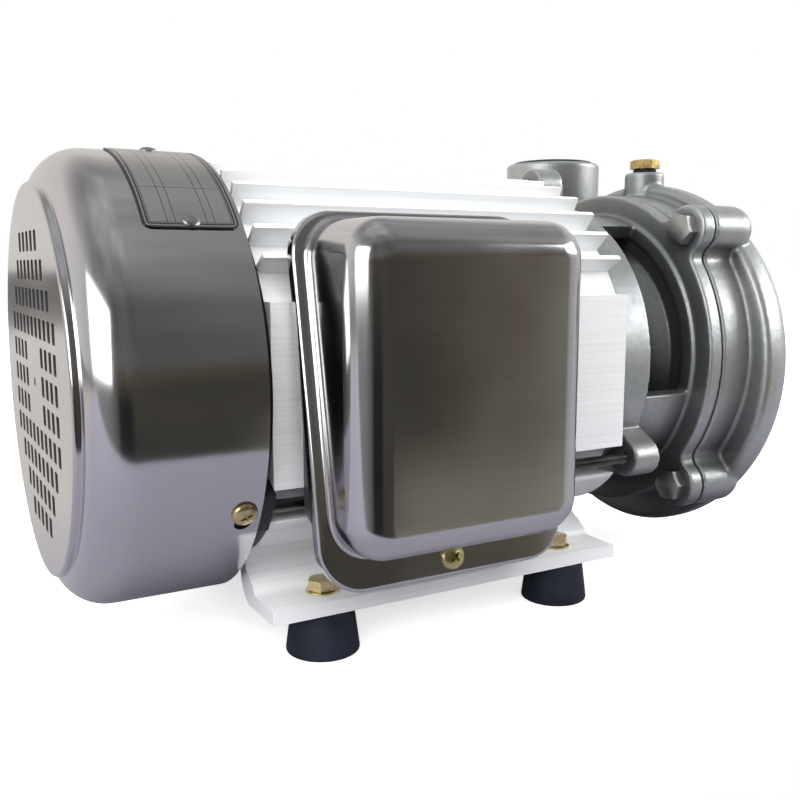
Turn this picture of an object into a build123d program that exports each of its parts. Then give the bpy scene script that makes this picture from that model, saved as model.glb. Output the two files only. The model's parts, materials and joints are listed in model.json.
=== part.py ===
from build123d import *
import os
from math import atan2, cos, degrees, radians, sin, sqrt, tan

# Close-coupled centrifugal pump: an extruded, finned motor housing on two legs with rubber feet,
# a slotted fan cover behind it, a drawn terminal box on one side, and a cast pump bracket and
# volute casing in front. X runs along the shaft from the fan to the suction port, -Y faces the
# terminal box and Z is up. The model is drawn from the middle of the four feet on the floor, and
# is moved at the end so that its origin lies under the middle of its box.

# Feet
foot_height = 17.5
foot_pitch_x = 112.5
foot_pitch_y = 120.0
foot_base_r = 14.3
foot_top_r = 12.0
foot_bolt_r = 3.0
foot_bolt_depth = 10.0
foot_nut_flats = 10.0
foot_nut_height = 5.0

# Motor housing, an extrusion with fins, side pads and legs; heights are taken from the shaft
housing_length = 161.0
foot_setback = 24.75
body_r = 74.3
housing_wall = 6.3
fin_height = 9.5
fin_thick = 2.0
fins_per_side = 7
fin_first_angle = 33.8
fin_step_angle = 8.93
pad_proud = 0.7
pad_top = 31.0
pad_bottom = -34.0
wire_hole_r = 8.0
wire_hole_z = -14.0
ledge_inset = 5.0
ledge_top = -46.7
waist_inset = 16.8
flange_margin = 12.0
leg_drop = 4.7
flange_thick = 5.5

# Tie rods between the rear end shield and the pump bracket
tie_rod_r = 2.4
tie_stand_off = 7.2
tie_count = 3
tie_first_angle = 90.0
tie_thread_depth = 8.5
tie_lug_r = 8.25
tie_lug_gap = 5.0
tie_lug_length = 14.0

# Rear end shield
shield_proud = 1.7
shield_thick = 6.0
shield_lug_length = 15.0
shield_lug_width = 17.0
spigot_length = 5.0
spigot_wall = 6.0

# Fan cover, pressed sheet with a raised slotted disc
cover_stand_off = 4.5
cover_wall = 1.0
cover_gap = 5.0
cover_depth = 60.0
cover_round = 17.0
disc_inset = 12.6
disc_rise = 2.0
disc_edge = 0.8
slot_width = 5.2
slot_height = 7.1
slot_pitch_y = 9.3
slot_pitch_z = 10.4
slot_rows = 11
slot_columns = 11
slots_in_end_row = 5
blank_half = 1
centre_mark_r = 1.6
cover_fit = 0.2
cover_screw_angle = 117.8
cover_screw_inset = 6.2
cover_screw_r = 2.0
cover_slot_travel = 4.6
pan_head_r = 4.6
pan_head_height = 2.6

# Plain plate riveted on the fan cover
plate_width = 32.4
plate_inset = 1.6
plate_start_angle = 7.0
plate_end_angle = 50.2
plate_thick = 0.6
plate_corner_r = 3.0
rivet_r = 3.1
rivet_rise = 1.3
rivet_edge_angle = 2.1

# Shaft, bearings and motor core
shaft_r = 10.0
seat_r = 8.5
nose_r = 7.0
fan_seat_r = 7.0
stud_r = 5.0
bearing_r = 20.0
bearing_width = 12.0
bearing_ring = 2.9
race_depth = 0.45
ball_count = 8
race_clearance = 0.3
cage_thick = 1.6
bearing_boss_wall = 6.0
shoulder_r = 12.0
rear_bearing_inset = 5.0
front_bearing_inset = 2.0
core_length = 75.0
core_offset = 40.0
air_gap = 0.5
rotor_r = 36.0
slot_count = 24
winding_slot_depth = 20.0
winding_slot_width = 4.6
winding_mouth = 2.0
winding_clearance = 0.3
winding_length = 17.0
winding_bevel = 4.0
cage_ring_length = 10.0

# Cooling fan
fan_room = 17.0
fan_disc_thick = 2.5
fan_blade_length = 24.0
fan_blade_thick = 2.2
fan_blade_count = 8
fan_hub_r = 13.0
fan_gap = 7.0
clip_thick = 1.2

# Terminal box: back pan and drawn cover meet on a plane that leans back towards its top
box_x = -24.4
box_width = 92.0
box_top = 58.6
box_bottom = -53.0
box_depth = 45.0
box_corner_r = 14.0
box_edge_r = 12.0
box_sheet = 1.2
lid_top_gap = 2.1
lid_top = 61.7
lid_bottom = -66.0
lid_lean = 10.68
lid_margin = 4.7
lid_corner_r = 16.0
lid_rim = 3.5
lid_fit = 0.35
lid_seat_gap = 0.1
box_gasket_thick = 1.5
box_gasket_inset = 3.0
box_gasket_margin = 1.0
lid_screw_r = 2.0
lid_screw_rise = 6.5
grommet_r = 5.0
grommet_z = -30.0
grommet_lip = 1.6
capacitor_r = 14.0
capacitor_length = 62.0
capacitor_z = 28.0
block_length = 46.0
block_height = 20.0
block_depth = 12.0
block_z = -30.0
terminal_count = 4
terminal_r = 2.0
terminal_rise = 6.0

# Pump bracket: motor-side ring, windowed drum, front plate and a bowl for the shaft seal
ring_inset = 2.4
ring_length = 18.3
ring_wall = 9.0
bracket_wall = 7.0
drum_step = 3.9
drum_wall = 6.5
drum_length = 30.4
window_low_angle = -13.0
window_high_angle = 66.0
window_ring_margin = 3.0
window_plate_margin = 1.2
plate_proud = 10.25
plate_length = 7.6
bolt_stand_off = 6.25
bolt_count = 4
bolt_first_angle = 45.0
lobe_r = 11.0
lobe_blend = 5.0
bolt_r = 4.0
bolt_clearance = 0.5
bolt_flats = 13.0
bolt_head_height = 5.5
bowl_inset = 14.0
bowl_nose_r = 24.0
bowl_length = 22.7
bowl_wall = 6.0
seal_bore_r = 15.0
seal_seat_length = 6.0
seal_wall = 2.0

# Casing: joint flange, eccentric volute, suction and outlet ports, priming boss
joint_gap = 1.0
gasket_inset = 1.8
chamber_inset = 6.25
band_length = 16.7
volute_room = 16.6
volute_drop = 4.1
volute_width = 23.8
volute_round = 17.0
volute_blend = 3.0
casing_wall = 5.5
volute_depth = 24.0
boss_length = 18.7
port_thread_r = 20.95
port_thread_length = 20.0
port_wall = 6.05
suction_step = 2.45
suction_length = 36.2
suction_cone = 18.0
outlet_offset = 12.1
outlet_proud = 13.4
outlet_inset = 24.7
outlet_neck_step = 5.0
outlet_step = 4.95
outlet_head = 28.0
cap_land = 2.05
cap_fit = 0.3
cap_seat = 3.0
cap_thick = 4.4
cap_round = 1.0
priming_x = 24.2
priming_boss_r = 10.0
priming_proud = 2.4
priming_thread_r = 4.85
priming_thread_length = 9.0
priming_flats = 13.0
priming_hex_height = 4.6
washer_r = 5.9
washer_thick = 2.1
bore_fit = 0.05

# Semi-open impeller
impeller_room = 6.0
impeller_plate = 3.5
impeller_gap = 2.7
vane_height = 11.5
vane_thick = 3.6
vane_count = 6
vane_root_r = 18.0
vane_sweep = 62.0
vane_bow = 13.0
hub_r = 13.0
hub_back = 3.9
hub_front = 13.0
key_width = 4.0
nut_flats = 17.0
nut_height = 7.0
slinger_r = 19.0
slinger_thick = 3.0
seal_head_r = 14.0
seal_head_length = 8.0
spring_r = 11.0
spring_wire_r = 0.9
spring_turns = 3

# Sizes across the shaft that follow from these
bore_r = body_r - housing_wall
fin_tip_r = body_r + fin_height
pad_y = body_r + pad_proud
ledge_y = pad_y - ledge_inset
waist_y = foot_pitch_y / 2 - waist_inset
flange_y = foot_pitch_y / 2 + flange_margin
flange_top = -body_r - leg_drop
flange_bottom = flange_top - flange_thick
axis_height = foot_height - flange_bottom
tie_circle_r = body_r + tie_stand_off
shield_r = body_r + shield_proud
cover_r = tie_circle_r + cover_stand_off
disc_r = cover_r - disc_inset
fan_r = cover_r - cover_wall - fan_room
ball_circle_r = (bearing_r + seat_r) / 2
ball_r = (bearing_r - seat_r) / 2 - bearing_ring + race_depth
bearing_boss_r = bearing_r + bearing_boss_wall
ring_r = body_r - ring_inset
drum_r = ring_r - drum_step
bowl_r = drum_r - bowl_inset
plate_r = drum_r + plate_proud
bolt_circle_r = plate_r + bolt_stand_off
chamber_r = plate_r - chamber_inset
impeller_r = chamber_r - impeller_room
volute_r = chamber_r + volute_room
island_r = chamber_r - volute_depth
port_r = port_thread_r + port_wall
suction_bore_r = port_thread_r - suction_step
outlet_neck_r = port_r - outlet_neck_step
outlet_bore_r = port_thread_r - outlet_step
outlet_y = volute_r - outlet_offset
outlet_height = volute_r + outlet_proud
cap_r = port_thread_r + cap_land
priming_height = volute_r + priming_proud
lid_top_y = pad_y + lid_top_gap
lid_width = box_width + 2 * lid_margin
box_front_y = pad_y + box_depth
box_gasket_width = box_width - 2 * box_gasket_inset

# Places along the shaft
x_fan_end = -foot_pitch_x / 2 - foot_setback
x_pump_end = x_fan_end + housing_length
x_cover_rim = x_fan_end - cover_gap
x_cover_face = x_cover_rim - cover_depth
x_shoulder = x_cover_face + disc_rise
x_rear_bearing = x_fan_end - rear_bearing_inset
x_front_bearing = x_pump_end - front_bearing_inset
x_core = x_fan_end + core_offset
x_ring_end = x_pump_end + ring_length
x_plate = x_ring_end + drum_length
x_joint = x_plate + plate_length
x_casing = x_joint + joint_gap
x_step = x_casing + band_length
x_volute_end = x_step + volute_width
x_suction = x_volute_end + suction_length
x_outlet = x_joint + outlet_inset
x_priming = x_joint + priming_x
x_seal = x_plate - bowl_length + seal_wall
x_impeller = x_joint + impeller_gap
x_chamber_end = x_impeller + impeller_plate + vane_height + 0.5
x_fan_disc = x_rear_bearing - shield_lug_length - fan_gap

lid_slope = tan(radians(lid_lean))
pan_y = pad_y + box_gasket_thick

shaft = Axis((0, 0, axis_height), (1, 0, 0))
side = Plane(origin=(0, 0, axis_height), x_dir=(1, 0, 0), z_dir=(0, -1, 0))


def across(x):
    """Plane square to the shaft at x, drawn with +Y to the right and up as up."""
    return Plane(origin=(x, 0, axis_height), x_dir=(0, 1, 0), z_dir=(1, 0, 0))


def outward(x, r, angle):
    """Plane on radius r that faces away from the shaft, angle from the top towards -Y."""
    a = radians(angle)
    up = (0, -sin(a), cos(a))
    return Plane(origin=(x, r * up[1], axis_height + r * up[2]), x_dir=(1, 0, 0), z_dir=up)


def facing(x, y, z):
    """Upright plane that faces the terminal box side, with z from the shaft."""
    return Plane(origin=(x, -y, axis_height + z), x_dir=(1, 0, 0), z_dir=(0, -1, 0))


def band(x0, x1, r0, r1, mode=Mode.ADD):
    """Half section of a ring about the shaft, for a revolve."""
    with Locations(((x0 + x1) / 2, (r0 + r1) / 2)):
        Rectangle(x1 - x0, r1 - r0, mode=mode)


def hexagon(flats):
    """Hexagon with the given width across its flats."""
    RegularPolygon(flats / 2, 6, major_radius=False)


def lid_y(z):
    """How far in front of the shaft the box's parting plane stands at height z."""
    return lid_top_y + (lid_top - z) * lid_slope


# Motor housing
with BuildPart() as motor_housing:
    with BuildSketch(across(x_fan_end)):
        Circle(body_r)
        with PolarLocations(0, fins_per_side, fin_first_angle,
                            fin_step_angle * (fins_per_side - 1), endpoint=True):
            Rectangle(fin_tip_r, fin_thick, align=(Align.MIN, Align.CENTER))
        with Locations((0, pad_bottom)):
            Rectangle(pad_y, pad_top - pad_bottom, align=(Align.MIN, Align.MIN))
        with BuildLine():
            Polyline((0, ledge_top), (ledge_y, ledge_top), (ledge_y - 1.5, ledge_top - 2.2))
            ThreePointArc((ledge_y - 1.5, ledge_top - 2.2), (waist_y + 14.8, flange_top + 21.6),
                          (waist_y + 1.4, flange_top + 15.6))
            ThreePointArc((waist_y + 1.4, flange_top + 15.6), (waist_y, flange_top + 11.0),
                          (waist_y + 4.5, flange_top + 6.3))
            Line((waist_y + 4.5, flange_top + 6.3), (waist_y + 9.3, flange_top + 2.4))
            ThreePointArc((waist_y + 9.3, flange_top + 2.4), (waist_y + 10.0, flange_top + 0.6),
                          (waist_y + 11.4, flange_top))
            Polyline((waist_y + 11.4, flange_top), (flange_y, flange_top),
                     (flange_y, flange_bottom), (waist_y + 3.8, flange_bottom))
            ThreePointArc((waist_y + 3.8, flange_bottom), (waist_y - 1.4, flange_top - 1.8),
                          (waist_y - 4.2, flange_top + 4.0))
            Polyline((waist_y - 4.2, flange_top + 4.0), (waist_y - 7.2, flange_top + 19.0),
                     (0, ledge_top))
        make_face()
        mirror(about=Plane.YZ)
        Circle(bore_r, mode=Mode.SUBTRACT)
    extrude(amount=housing_length)
    with BuildSketch(Plane.XY.offset(foot_height)):
        with GridLocations(foot_pitch_x, foot_pitch_y, 2, 2):
            Circle(foot_bolt_r)
    extrude(amount=flange_thick, mode=Mode.SUBTRACT)
    with BuildSketch(facing(box_x, pad_y, wire_hole_z)):
        Circle(wire_hole_r)
    extrude(amount=-(pad_y - bore_r + 3), mode=Mode.SUBTRACT)

# Rubber feet and the bolts that hold them under the legs
with BuildPart() as rubber_feet:
    with BuildSketch(Plane.XY) as foot_base:
        with GridLocations(foot_pitch_x, foot_pitch_y, 2, 2):
            Circle(foot_base_r)
    extrude(amount=foot_height, taper=degrees(atan2(foot_base_r - foot_top_r, foot_height)))
    with BuildSketch(Plane.XY.offset(foot_height)):
        with GridLocations(foot_pitch_x, foot_pitch_y, 2, 2):
            Circle(foot_bolt_r)
    extrude(amount=-foot_bolt_depth, mode=Mode.SUBTRACT)

with BuildPart() as foot_bolts:
    with BuildSketch(Plane.XY.offset(foot_height - foot_bolt_depth)):
        with GridLocations(foot_pitch_x, foot_pitch_y, 2, 2):
            Circle(foot_bolt_r)
    extrude(amount=foot_bolt_depth + flange_thick)
    with BuildSketch(Plane.XY.offset(foot_height + flange_thick)):
        with GridLocations(foot_pitch_x, foot_pitch_y, 2, 2):
            hexagon(foot_nut_flats)
    extrude(amount=foot_nut_height)

# Rear end shield: web, spigot, bearing boss and three lugs that carry tie rods and fan cover
with BuildPart() as rear_end_shield:
    with BuildSketch(side):
        band(x_fan_end - shield_thick, x_fan_end, shoulder_r, shield_r)
        band(x_fan_end - 1, x_fan_end + spigot_length, bore_r - spigot_wall, bore_r)
        band(x_rear_bearing - 4, x_rear_bearing + bearing_width, shoulder_r, bearing_boss_r)
        band(x_rear_bearing, x_rear_bearing + bearing_width, 0, bearing_r, Mode.SUBTRACT)
    revolve(axis=shaft)
    with BuildSketch(across(x_fan_end - shield_lug_length)):
        with PolarLocations(0, tie_count, tie_first_angle):
            Rectangle(cover_r, shield_lug_width, align=(Align.MIN, Align.CENTER))
        Circle(cover_r - cover_wall - cover_fit, mode=Mode.INTERSECT)
        Circle(shield_r - 6, mode=Mode.SUBTRACT)
    extrude(amount=shield_lug_length)
    with BuildSketch(across(x_fan_end)):
        with PolarLocations(tie_circle_r, tie_count, tie_first_angle):
            Circle(tie_rod_r)
    extrude(amount=-tie_thread_depth, mode=Mode.SUBTRACT)
    for angle in (cover_screw_angle, -cover_screw_angle):
        with BuildSketch(outward(x_cover_rim - cover_screw_inset, cover_r, angle)):
            Circle(cover_screw_r)
        extrude(amount=-8, mode=Mode.SUBTRACT)

# Fan cover
def cup_section(cup, inset):
    """Half section of the cover, drawn in the sketch this far inside its outer skin."""
    band(x_shoulder + inset, x_cover_rim, 0, cover_r - inset)
    fillet(cup.vertices().sort_by(Axis.Y)[-2:].sort_by(Axis.X)[0], cover_round - inset)
    band(x_cover_face + inset, x_shoulder + 3 + inset, 0, disc_r - inset)
    chamfer(cup.vertices().group_by(Axis.X)[0].sort_by(Axis.Y)[-1], disc_edge)


with BuildPart() as fan_cover:
    with BuildSketch(side) as outer_cup:
        cup_section(outer_cup, 0)
    revolve(axis=shaft)
    with BuildSketch(side) as inner_cup:
        cup_section(inner_cup, cover_wall)
    revolve(axis=shaft, mode=Mode.SUBTRACT)
    with BuildSketch(across(x_cover_face)):
        middle = slot_rows // 2
        for row in range(-middle, middle + 1):
            in_row = min(slot_columns, slots_in_end_row + 2 * (middle - abs(row)))
            half = in_row // 2
            for column in range(-half, half + 1):
                if abs(row) > blank_half or abs(column) > blank_half:
                    with Locations((column * slot_pitch_y, row * slot_pitch_z)):
                        Rectangle(slot_width, slot_height)
        Circle(centre_mark_r)
    extrude(amount=cover_wall + 1, mode=Mode.SUBTRACT)
    for angle in (cover_screw_angle, -cover_screw_angle):
        with BuildSketch(outward(x_cover_rim - cover_screw_inset, cover_r + 1, angle)):
            up_the_side = cover_slot_travel if angle > 0 else -cover_slot_travel
            with Locations((0, -up_the_side / 2)):
                SlotCenterToCenter(cover_slot_travel, 2 * cover_screw_r + 2.2, rotation=90)
        extrude(amount=-cover_wall - 3, mode=Mode.SUBTRACT)

with BuildPart() as fan_cover_screws:
    for angle in (cover_screw_angle, -cover_screw_angle):
        with BuildSketch(outward(x_cover_rim - cover_screw_inset, cover_r, angle)):
            Circle(cover_screw_r)
        extrude(amount=-8)
        with BuildSketch(outward(x_cover_rim - cover_screw_inset, cover_r, angle)):
            Circle(pan_head_r)
        extrude(amount=pan_head_height, taper=12)

# Plate and rivets on the fan cover
with BuildPart() as data_plate:
    with BuildSketch(Plane(origin=side.origin, x_dir=(1, 0, 0),
                           z_dir=(0, -cos(radians(plate_start_angle)),
                                  -sin(radians(plate_start_angle))))):
        band(x_cover_rim - plate_inset - plate_width, x_cover_rim - plate_inset,
             cover_r, cover_r + plate_thick)
    revolve(axis=shaft, revolution_arc=plate_end_angle - plate_start_angle)
    fillet(data_plate.edges().filter_by(lambda e: e.length < 2 * plate_thick), plate_corner_r)

x_rivet = x_cover_rim - plate_inset - plate_width / 2
with BuildPart() as plate_rivets:
    for angle in (plate_start_angle + rivet_edge_angle, plate_end_angle - rivet_edge_angle):
        with BuildSketch(outward(x_rivet, cover_r + plate_thick, angle)):
            Circle(rivet_r)
        extrude(amount=rivet_rise, taper=30)

# Tie rods
with BuildPart() as tie_rods:
    with BuildSketch(across(x_fan_end - tie_thread_depth)):
        with PolarLocations(tie_circle_r, tie_count, tie_first_angle):
            Circle(tie_rod_r)
    extrude(amount=tie_thread_depth + housing_length + tie_lug_gap + tie_lug_length - 1)

# Stator core with winding slots, and the windings
with BuildPart() as stator_core:
    with BuildSketch(across(x_core)):
        Circle(bore_r)
        Circle(rotor_r + air_gap, mode=Mode.SUBTRACT)
        slot_mid = rotor_r + air_gap + 2.5 + winding_slot_depth / 2
        with PolarLocations(slot_mid, slot_count):
            Rectangle(winding_slot_depth, winding_slot_width, mode=Mode.SUBTRACT)
        with PolarLocations(rotor_r + 2, slot_count):
            Rectangle(5, winding_mouth, mode=Mode.SUBTRACT)
    extrude(amount=core_length)

with BuildPart() as stator_windings:
    with BuildSketch(side) as turns:
        for x0 in (x_core - winding_length, x_core + core_length + 0.5):
            band(x0, x0 + winding_length - 0.5, slot_mid - 11, slot_mid + 11)
        chamfer(turns.vertices(), winding_bevel)
    revolve(axis=shaft)
    with BuildSketch(across(x_core - 2)):
        with PolarLocations(slot_mid, slot_count):
            Rectangle(winding_slot_depth - 2 * winding_clearance,
                      winding_slot_width - 2 * winding_clearance)
    extrude(amount=core_length + 4)

# Rotor core, cast cage rings and shaft
with BuildPart() as rotor_core:
    with BuildSketch(side):
        band(x_core, x_core + core_length, shaft_r, rotor_r)
    revolve(axis=shaft)

with BuildPart() as rotor_cage:
    with BuildSketch(side):
        for x0 in (x_core - cage_ring_length, x_core + core_length):
            band(x0, x0 + cage_ring_length, rotor_r - 12, rotor_r - 1)
    revolve(axis=shaft)

x_nut = x_joint + hub_front + 0.3
with BuildPart() as motor_shaft:
    with BuildSketch(side):
        band(x_fan_disc - fan_blade_length + 4, x_rear_bearing, 0, fan_seat_r)
        band(x_rear_bearing, x_rear_bearing + bearing_width, 0, seat_r)
        band(x_rear_bearing + bearing_width, x_front_bearing, 0, shaft_r)
        band(x_front_bearing, x_front_bearing + bearing_width + 4, 0, seat_r)
        band(x_front_bearing + bearing_width + 4, x_joint - hub_back, 0, nose_r + 1)
        band(x_joint - hub_back, x_nut, 0, nose_r)
        band(x_nut, x_nut + nut_height + 2, 0, stud_r)
    revolve(axis=shaft)
    chamfer(motor_shaft.faces().sort_by(Axis.X)[-1].edges(), 1)
    chamfer(motor_shaft.faces().sort_by(Axis.X)[0].edges(), 1)
    with BuildSketch(side.offset(-key_width / 2)):
        band(x_joint + 1, x_joint + hub_front - 2, nose_r - key_width / 2, nose_r + 1)
    extrude(amount=key_width, mode=Mode.SUBTRACT)

with BuildPart() as impeller_key:
    with BuildSketch(side.offset(-key_width / 2)):
        band(x_joint + 1, x_joint + hub_front - 2, nose_r - key_width / 2, nose_r + key_width / 2)
    extrude(amount=key_width)

# Bearings: rings with raceways, balls beside the ring that spaces them

def bearing_ring_part(x0, r0, r1):
    """One ring of a ball bearing, with the raceway cut into the face that meets the balls."""
    with BuildPart() as ring:
        with BuildSketch(side):
            band(x0, x0 + bearing_width, r0, r1)
            with Locations((x0 + bearing_width / 2, ball_circle_r)):
                Circle(ball_r + race_clearance, mode=Mode.SUBTRACT)
        revolve(axis=shaft)
    return ring


def ball_set(x0):
    """Balls and the ring that spaces them, beside them in the bearing."""
    middle_x = x0 + bearing_width / 2
    with BuildPart() as balls:
        with BuildSketch(side):
            band(middle_x + ball_r - 0.6, middle_x + ball_r + 0.8,
                 ball_circle_r - cage_thick, ball_circle_r + cage_thick)
        revolve(axis=shaft)
        spots = PolarLocations(ball_circle_r, ball_count).locations
        with Locations([across(middle_x).location * spot for spot in spots]):
            Sphere(ball_r)
    return balls


rear_bearing_outer = bearing_ring_part(x_rear_bearing, bearing_r - bearing_ring, bearing_r)
rear_bearing_inner = bearing_ring_part(x_rear_bearing, seat_r, seat_r + bearing_ring)
front_bearing_outer = bearing_ring_part(x_front_bearing, bearing_r - bearing_ring, bearing_r)
front_bearing_inner = bearing_ring_part(x_front_bearing, seat_r, seat_r + bearing_ring)
rear_bearing_balls = ball_set(x_rear_bearing)
front_bearing_balls = ball_set(x_front_bearing)

# Cooling fan and its clip
with BuildPart() as cooling_fan:
    with BuildSketch(side):
        band(x_fan_disc - fan_disc_thick, x_fan_disc, fan_seat_r, fan_r)
        band(x_fan_disc - fan_blade_length + 6, x_fan_disc + 3, fan_seat_r, fan_hub_r)
    revolve(axis=shaft)
    with BuildSketch(across(x_fan_disc - fan_disc_thick)):
        with PolarLocations(0, fan_blade_count):
            Rectangle(fan_r, fan_blade_thick, align=(Align.MIN, Align.CENTER))
        Circle(fan_hub_r - 1, mode=Mode.SUBTRACT)
    extrude(amount=-(fan_blade_length - fan_disc_thick))

with BuildPart() as fan_clip:
    with BuildSketch(across(x_fan_disc - fan_blade_length + 6 - clip_thick)):
        Circle(fan_seat_r + 3)
        Circle(fan_seat_r, mode=Mode.SUBTRACT)
        with Locations((0, fan_seat_r + 1)):
            Rectangle(3, 6, mode=Mode.SUBTRACT)
    extrude(amount=clip_thick)

# Terminal box cover and pan
lid_mid = (lid_top + lid_bottom) / 2
lid_height = (lid_top - lid_bottom) / cos(radians(lid_lean))
lid_plane = Plane(origin=(box_x, -lid_y(lid_mid), axis_height + lid_mid), x_dir=(1, 0, 0),
                  z_dir=(0, -cos(radians(lid_lean)), sin(radians(lid_lean))))
box_mid = (box_top + box_bottom) / 2
box_height = box_top - box_bottom


def cover_form(inset):
    """Drawn body of the cover, shrunk inside its outer skin, reaching back past the parting."""
    with BuildPart() as form:
        with BuildSketch(facing(box_x, box_front_y - inset, box_mid)):
            RectangleRounded(box_width - 2 * inset, box_height - 2 * inset, box_corner_r - inset)
        extrude(amount=-(box_front_y - pad_y))
        fillet(form.faces().sort_by(Axis.Y)[0].edges(), box_edge_r - inset)
        split(bisect_by=lid_plane, keep=Keep.TOP)
    return form.part


with BuildPart() as terminal_box_cover:
    add(cover_form(0))
    with BuildSketch(lid_plane.offset(-lid_rim)):
        RectangleRounded(lid_width, lid_height, lid_corner_r)
    extrude(amount=lid_rim + box_sheet)
    add(cover_form(box_sheet), mode=Mode.SUBTRACT)
    with BuildSketch(lid_plane.offset(-lid_rim)):
        RectangleRounded(lid_width - 2 * box_sheet, lid_height - 2 * box_sheet,
                         lid_corner_r - box_sheet)
    extrude(amount=lid_rim, mode=Mode.SUBTRACT)
    with BuildSketch(lid_plane):
        with Locations((0, -lid_height / 2 + lid_screw_rise)):
            Circle(lid_screw_r + 0.3)
    extrude(amount=box_sheet, mode=Mode.SUBTRACT)

x_box_side = box_x + box_width / 2
grommet_y = (pan_y + lid_y(grommet_z)) / 2


def pan_form(inset):
    """Wedge-shaped body of the pan, between the gasket and the parting plane."""
    with BuildPart() as form:
        with BuildSketch(facing(box_x, pan_y + inset, box_mid)):
            RectangleRounded(box_width - 2 * inset, box_height - 2 * inset, box_corner_r - inset)
        extrude(amount=box_front_y - pan_y)
        split(bisect_by=lid_plane.offset(-lid_seat_gap), keep=Keep.BOTTOM)
    return form.part


with BuildPart() as terminal_box_pan:
    add(pan_form(0))
    with BuildSketch(lid_plane.offset(-lid_seat_gap)):
        RectangleRounded(lid_width - 2 * (box_sheet + lid_fit),
                         lid_height - 2 * (box_sheet + lid_fit), lid_corner_r - box_sheet - lid_fit)
    extrude(amount=-box_sheet)
    add(pan_form(box_sheet), mode=Mode.SUBTRACT)
    with BuildSketch(lid_plane):
        with Locations((0, -lid_height / 2 + lid_screw_rise)):
            Circle(lid_screw_r + 0.3)
    extrude(amount=-2 * box_sheet, mode=Mode.SUBTRACT)
    with BuildSketch(facing(box_x, pan_y + box_sheet, wire_hole_z)):
        Circle(wire_hole_r)
    extrude(amount=-box_sheet, mode=Mode.SUBTRACT)
    with BuildSketch(Plane(origin=(x_box_side, -grommet_y, axis_height + grommet_z),
                           x_dir=(0, 1, 0), z_dir=(1, 0, 0))):
        Circle(grommet_r)
    extrude(amount=-box_sheet - 1, mode=Mode.SUBTRACT)

with BuildPart() as terminal_box_gasket:
    with BuildSketch(facing(box_x, pad_y, (pad_top + pad_bottom) / 2)):
        RectangleRounded(box_gasket_width, pad_top - pad_bottom - 2 * box_gasket_margin, 4)
        with Locations((0, wire_hole_z - (pad_top + pad_bottom) / 2)):
            Circle(wire_hole_r, mode=Mode.SUBTRACT)
    extrude(amount=box_gasket_thick)

with BuildPart() as terminal_box_screw:
    with BuildSketch(lid_plane.offset(-5)):
        with Locations((0, -lid_height / 2 + lid_screw_rise)):
            Circle(lid_screw_r)
    extrude(amount=5 + box_sheet)
    with BuildSketch(lid_plane.offset(box_sheet)):
        with Locations((0, -lid_height / 2 + lid_screw_rise)):
            Circle(pan_head_r)
    extrude(amount=pan_head_height, taper=12)

with BuildPart() as cable_grommet:
    for offset, radius, thick in ((0.0, grommet_r + 1.6, grommet_lip),
                                  (-box_sheet, grommet_r, box_sheet),
                                  (-box_sheet - grommet_lip, grommet_r + 1.6, grommet_lip)):
        with BuildSketch(Plane(origin=(x_box_side + offset, -grommet_y, axis_height + grommet_z),
                               x_dir=(0, 1, 0), z_dir=(1, 0, 0))):
            Circle(radius)
            Circle(grommet_r - 1.6, mode=Mode.SUBTRACT)
        extrude(amount=thick)

# Run capacitor on two saddles, and the terminal block, on the floor of the pan
capacitor_y = lid_y(capacitor_z) + capacitor_r + 0.5
with BuildPart() as run_capacitor:
    with BuildSketch(Plane(origin=(box_x - capacitor_length / 2, -capacitor_y,
                                   axis_height + capacitor_z), x_dir=(0, 1, 0), z_dir=(1, 0, 0))):
        Circle(capacitor_r)
    extrude(amount=capacitor_length)
    chamfer(run_capacitor.edges().filter_by(GeomType.CIRCLE), 1)

floor_y = pan_y + box_sheet
with BuildPart() as capacitor_clip:
    with BuildSketch(Plane(origin=(box_x - 6, -capacitor_y, axis_height + capacitor_z),
                           x_dir=(0, 1, 0), z_dir=(1, 0, 0))):
        Circle(capacitor_r + 1.2)
        with Locations(((capacitor_y - floor_y) / 2, 0)):
            Rectangle(capacitor_y - floor_y, 16)
        Circle(capacitor_r, mode=Mode.SUBTRACT)
        with Locations((-capacitor_r, 0)):
            Rectangle(8, 16, mode=Mode.SUBTRACT)
    extrude(amount=12)

with BuildPart() as terminal_block:
    with BuildSketch(facing(box_x + 14, floor_y, block_z)):
        Rectangle(block_length, block_height)
    extrude(amount=block_depth)
    chamfer(terminal_block.faces().sort_by(Axis.Y)[0].edges(), 1)

with BuildPart() as terminal_screws:
    with BuildSketch(facing(box_x + 14, floor_y + block_depth, block_z)):
        with GridLocations(block_length / terminal_count, 1, terminal_count, 1):
            Circle(terminal_r + 1.5)
    extrude(amount=2)
    with BuildSketch(facing(box_x + 14, floor_y + block_depth, block_z)):
        with GridLocations(block_length / terminal_count, 1, terminal_count, 1):
            Circle(terminal_r)
    extrude(amount=terminal_rise)


# Pump bracket
def flange_outline(inset):
    """Round joint flange with a lobe at each casing bolt, drawn this far inside its edge."""
    Circle(plate_r - inset)
    with PolarLocations(bolt_circle_r, bolt_count, bolt_first_angle):
        Circle(lobe_r - inset)


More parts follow.
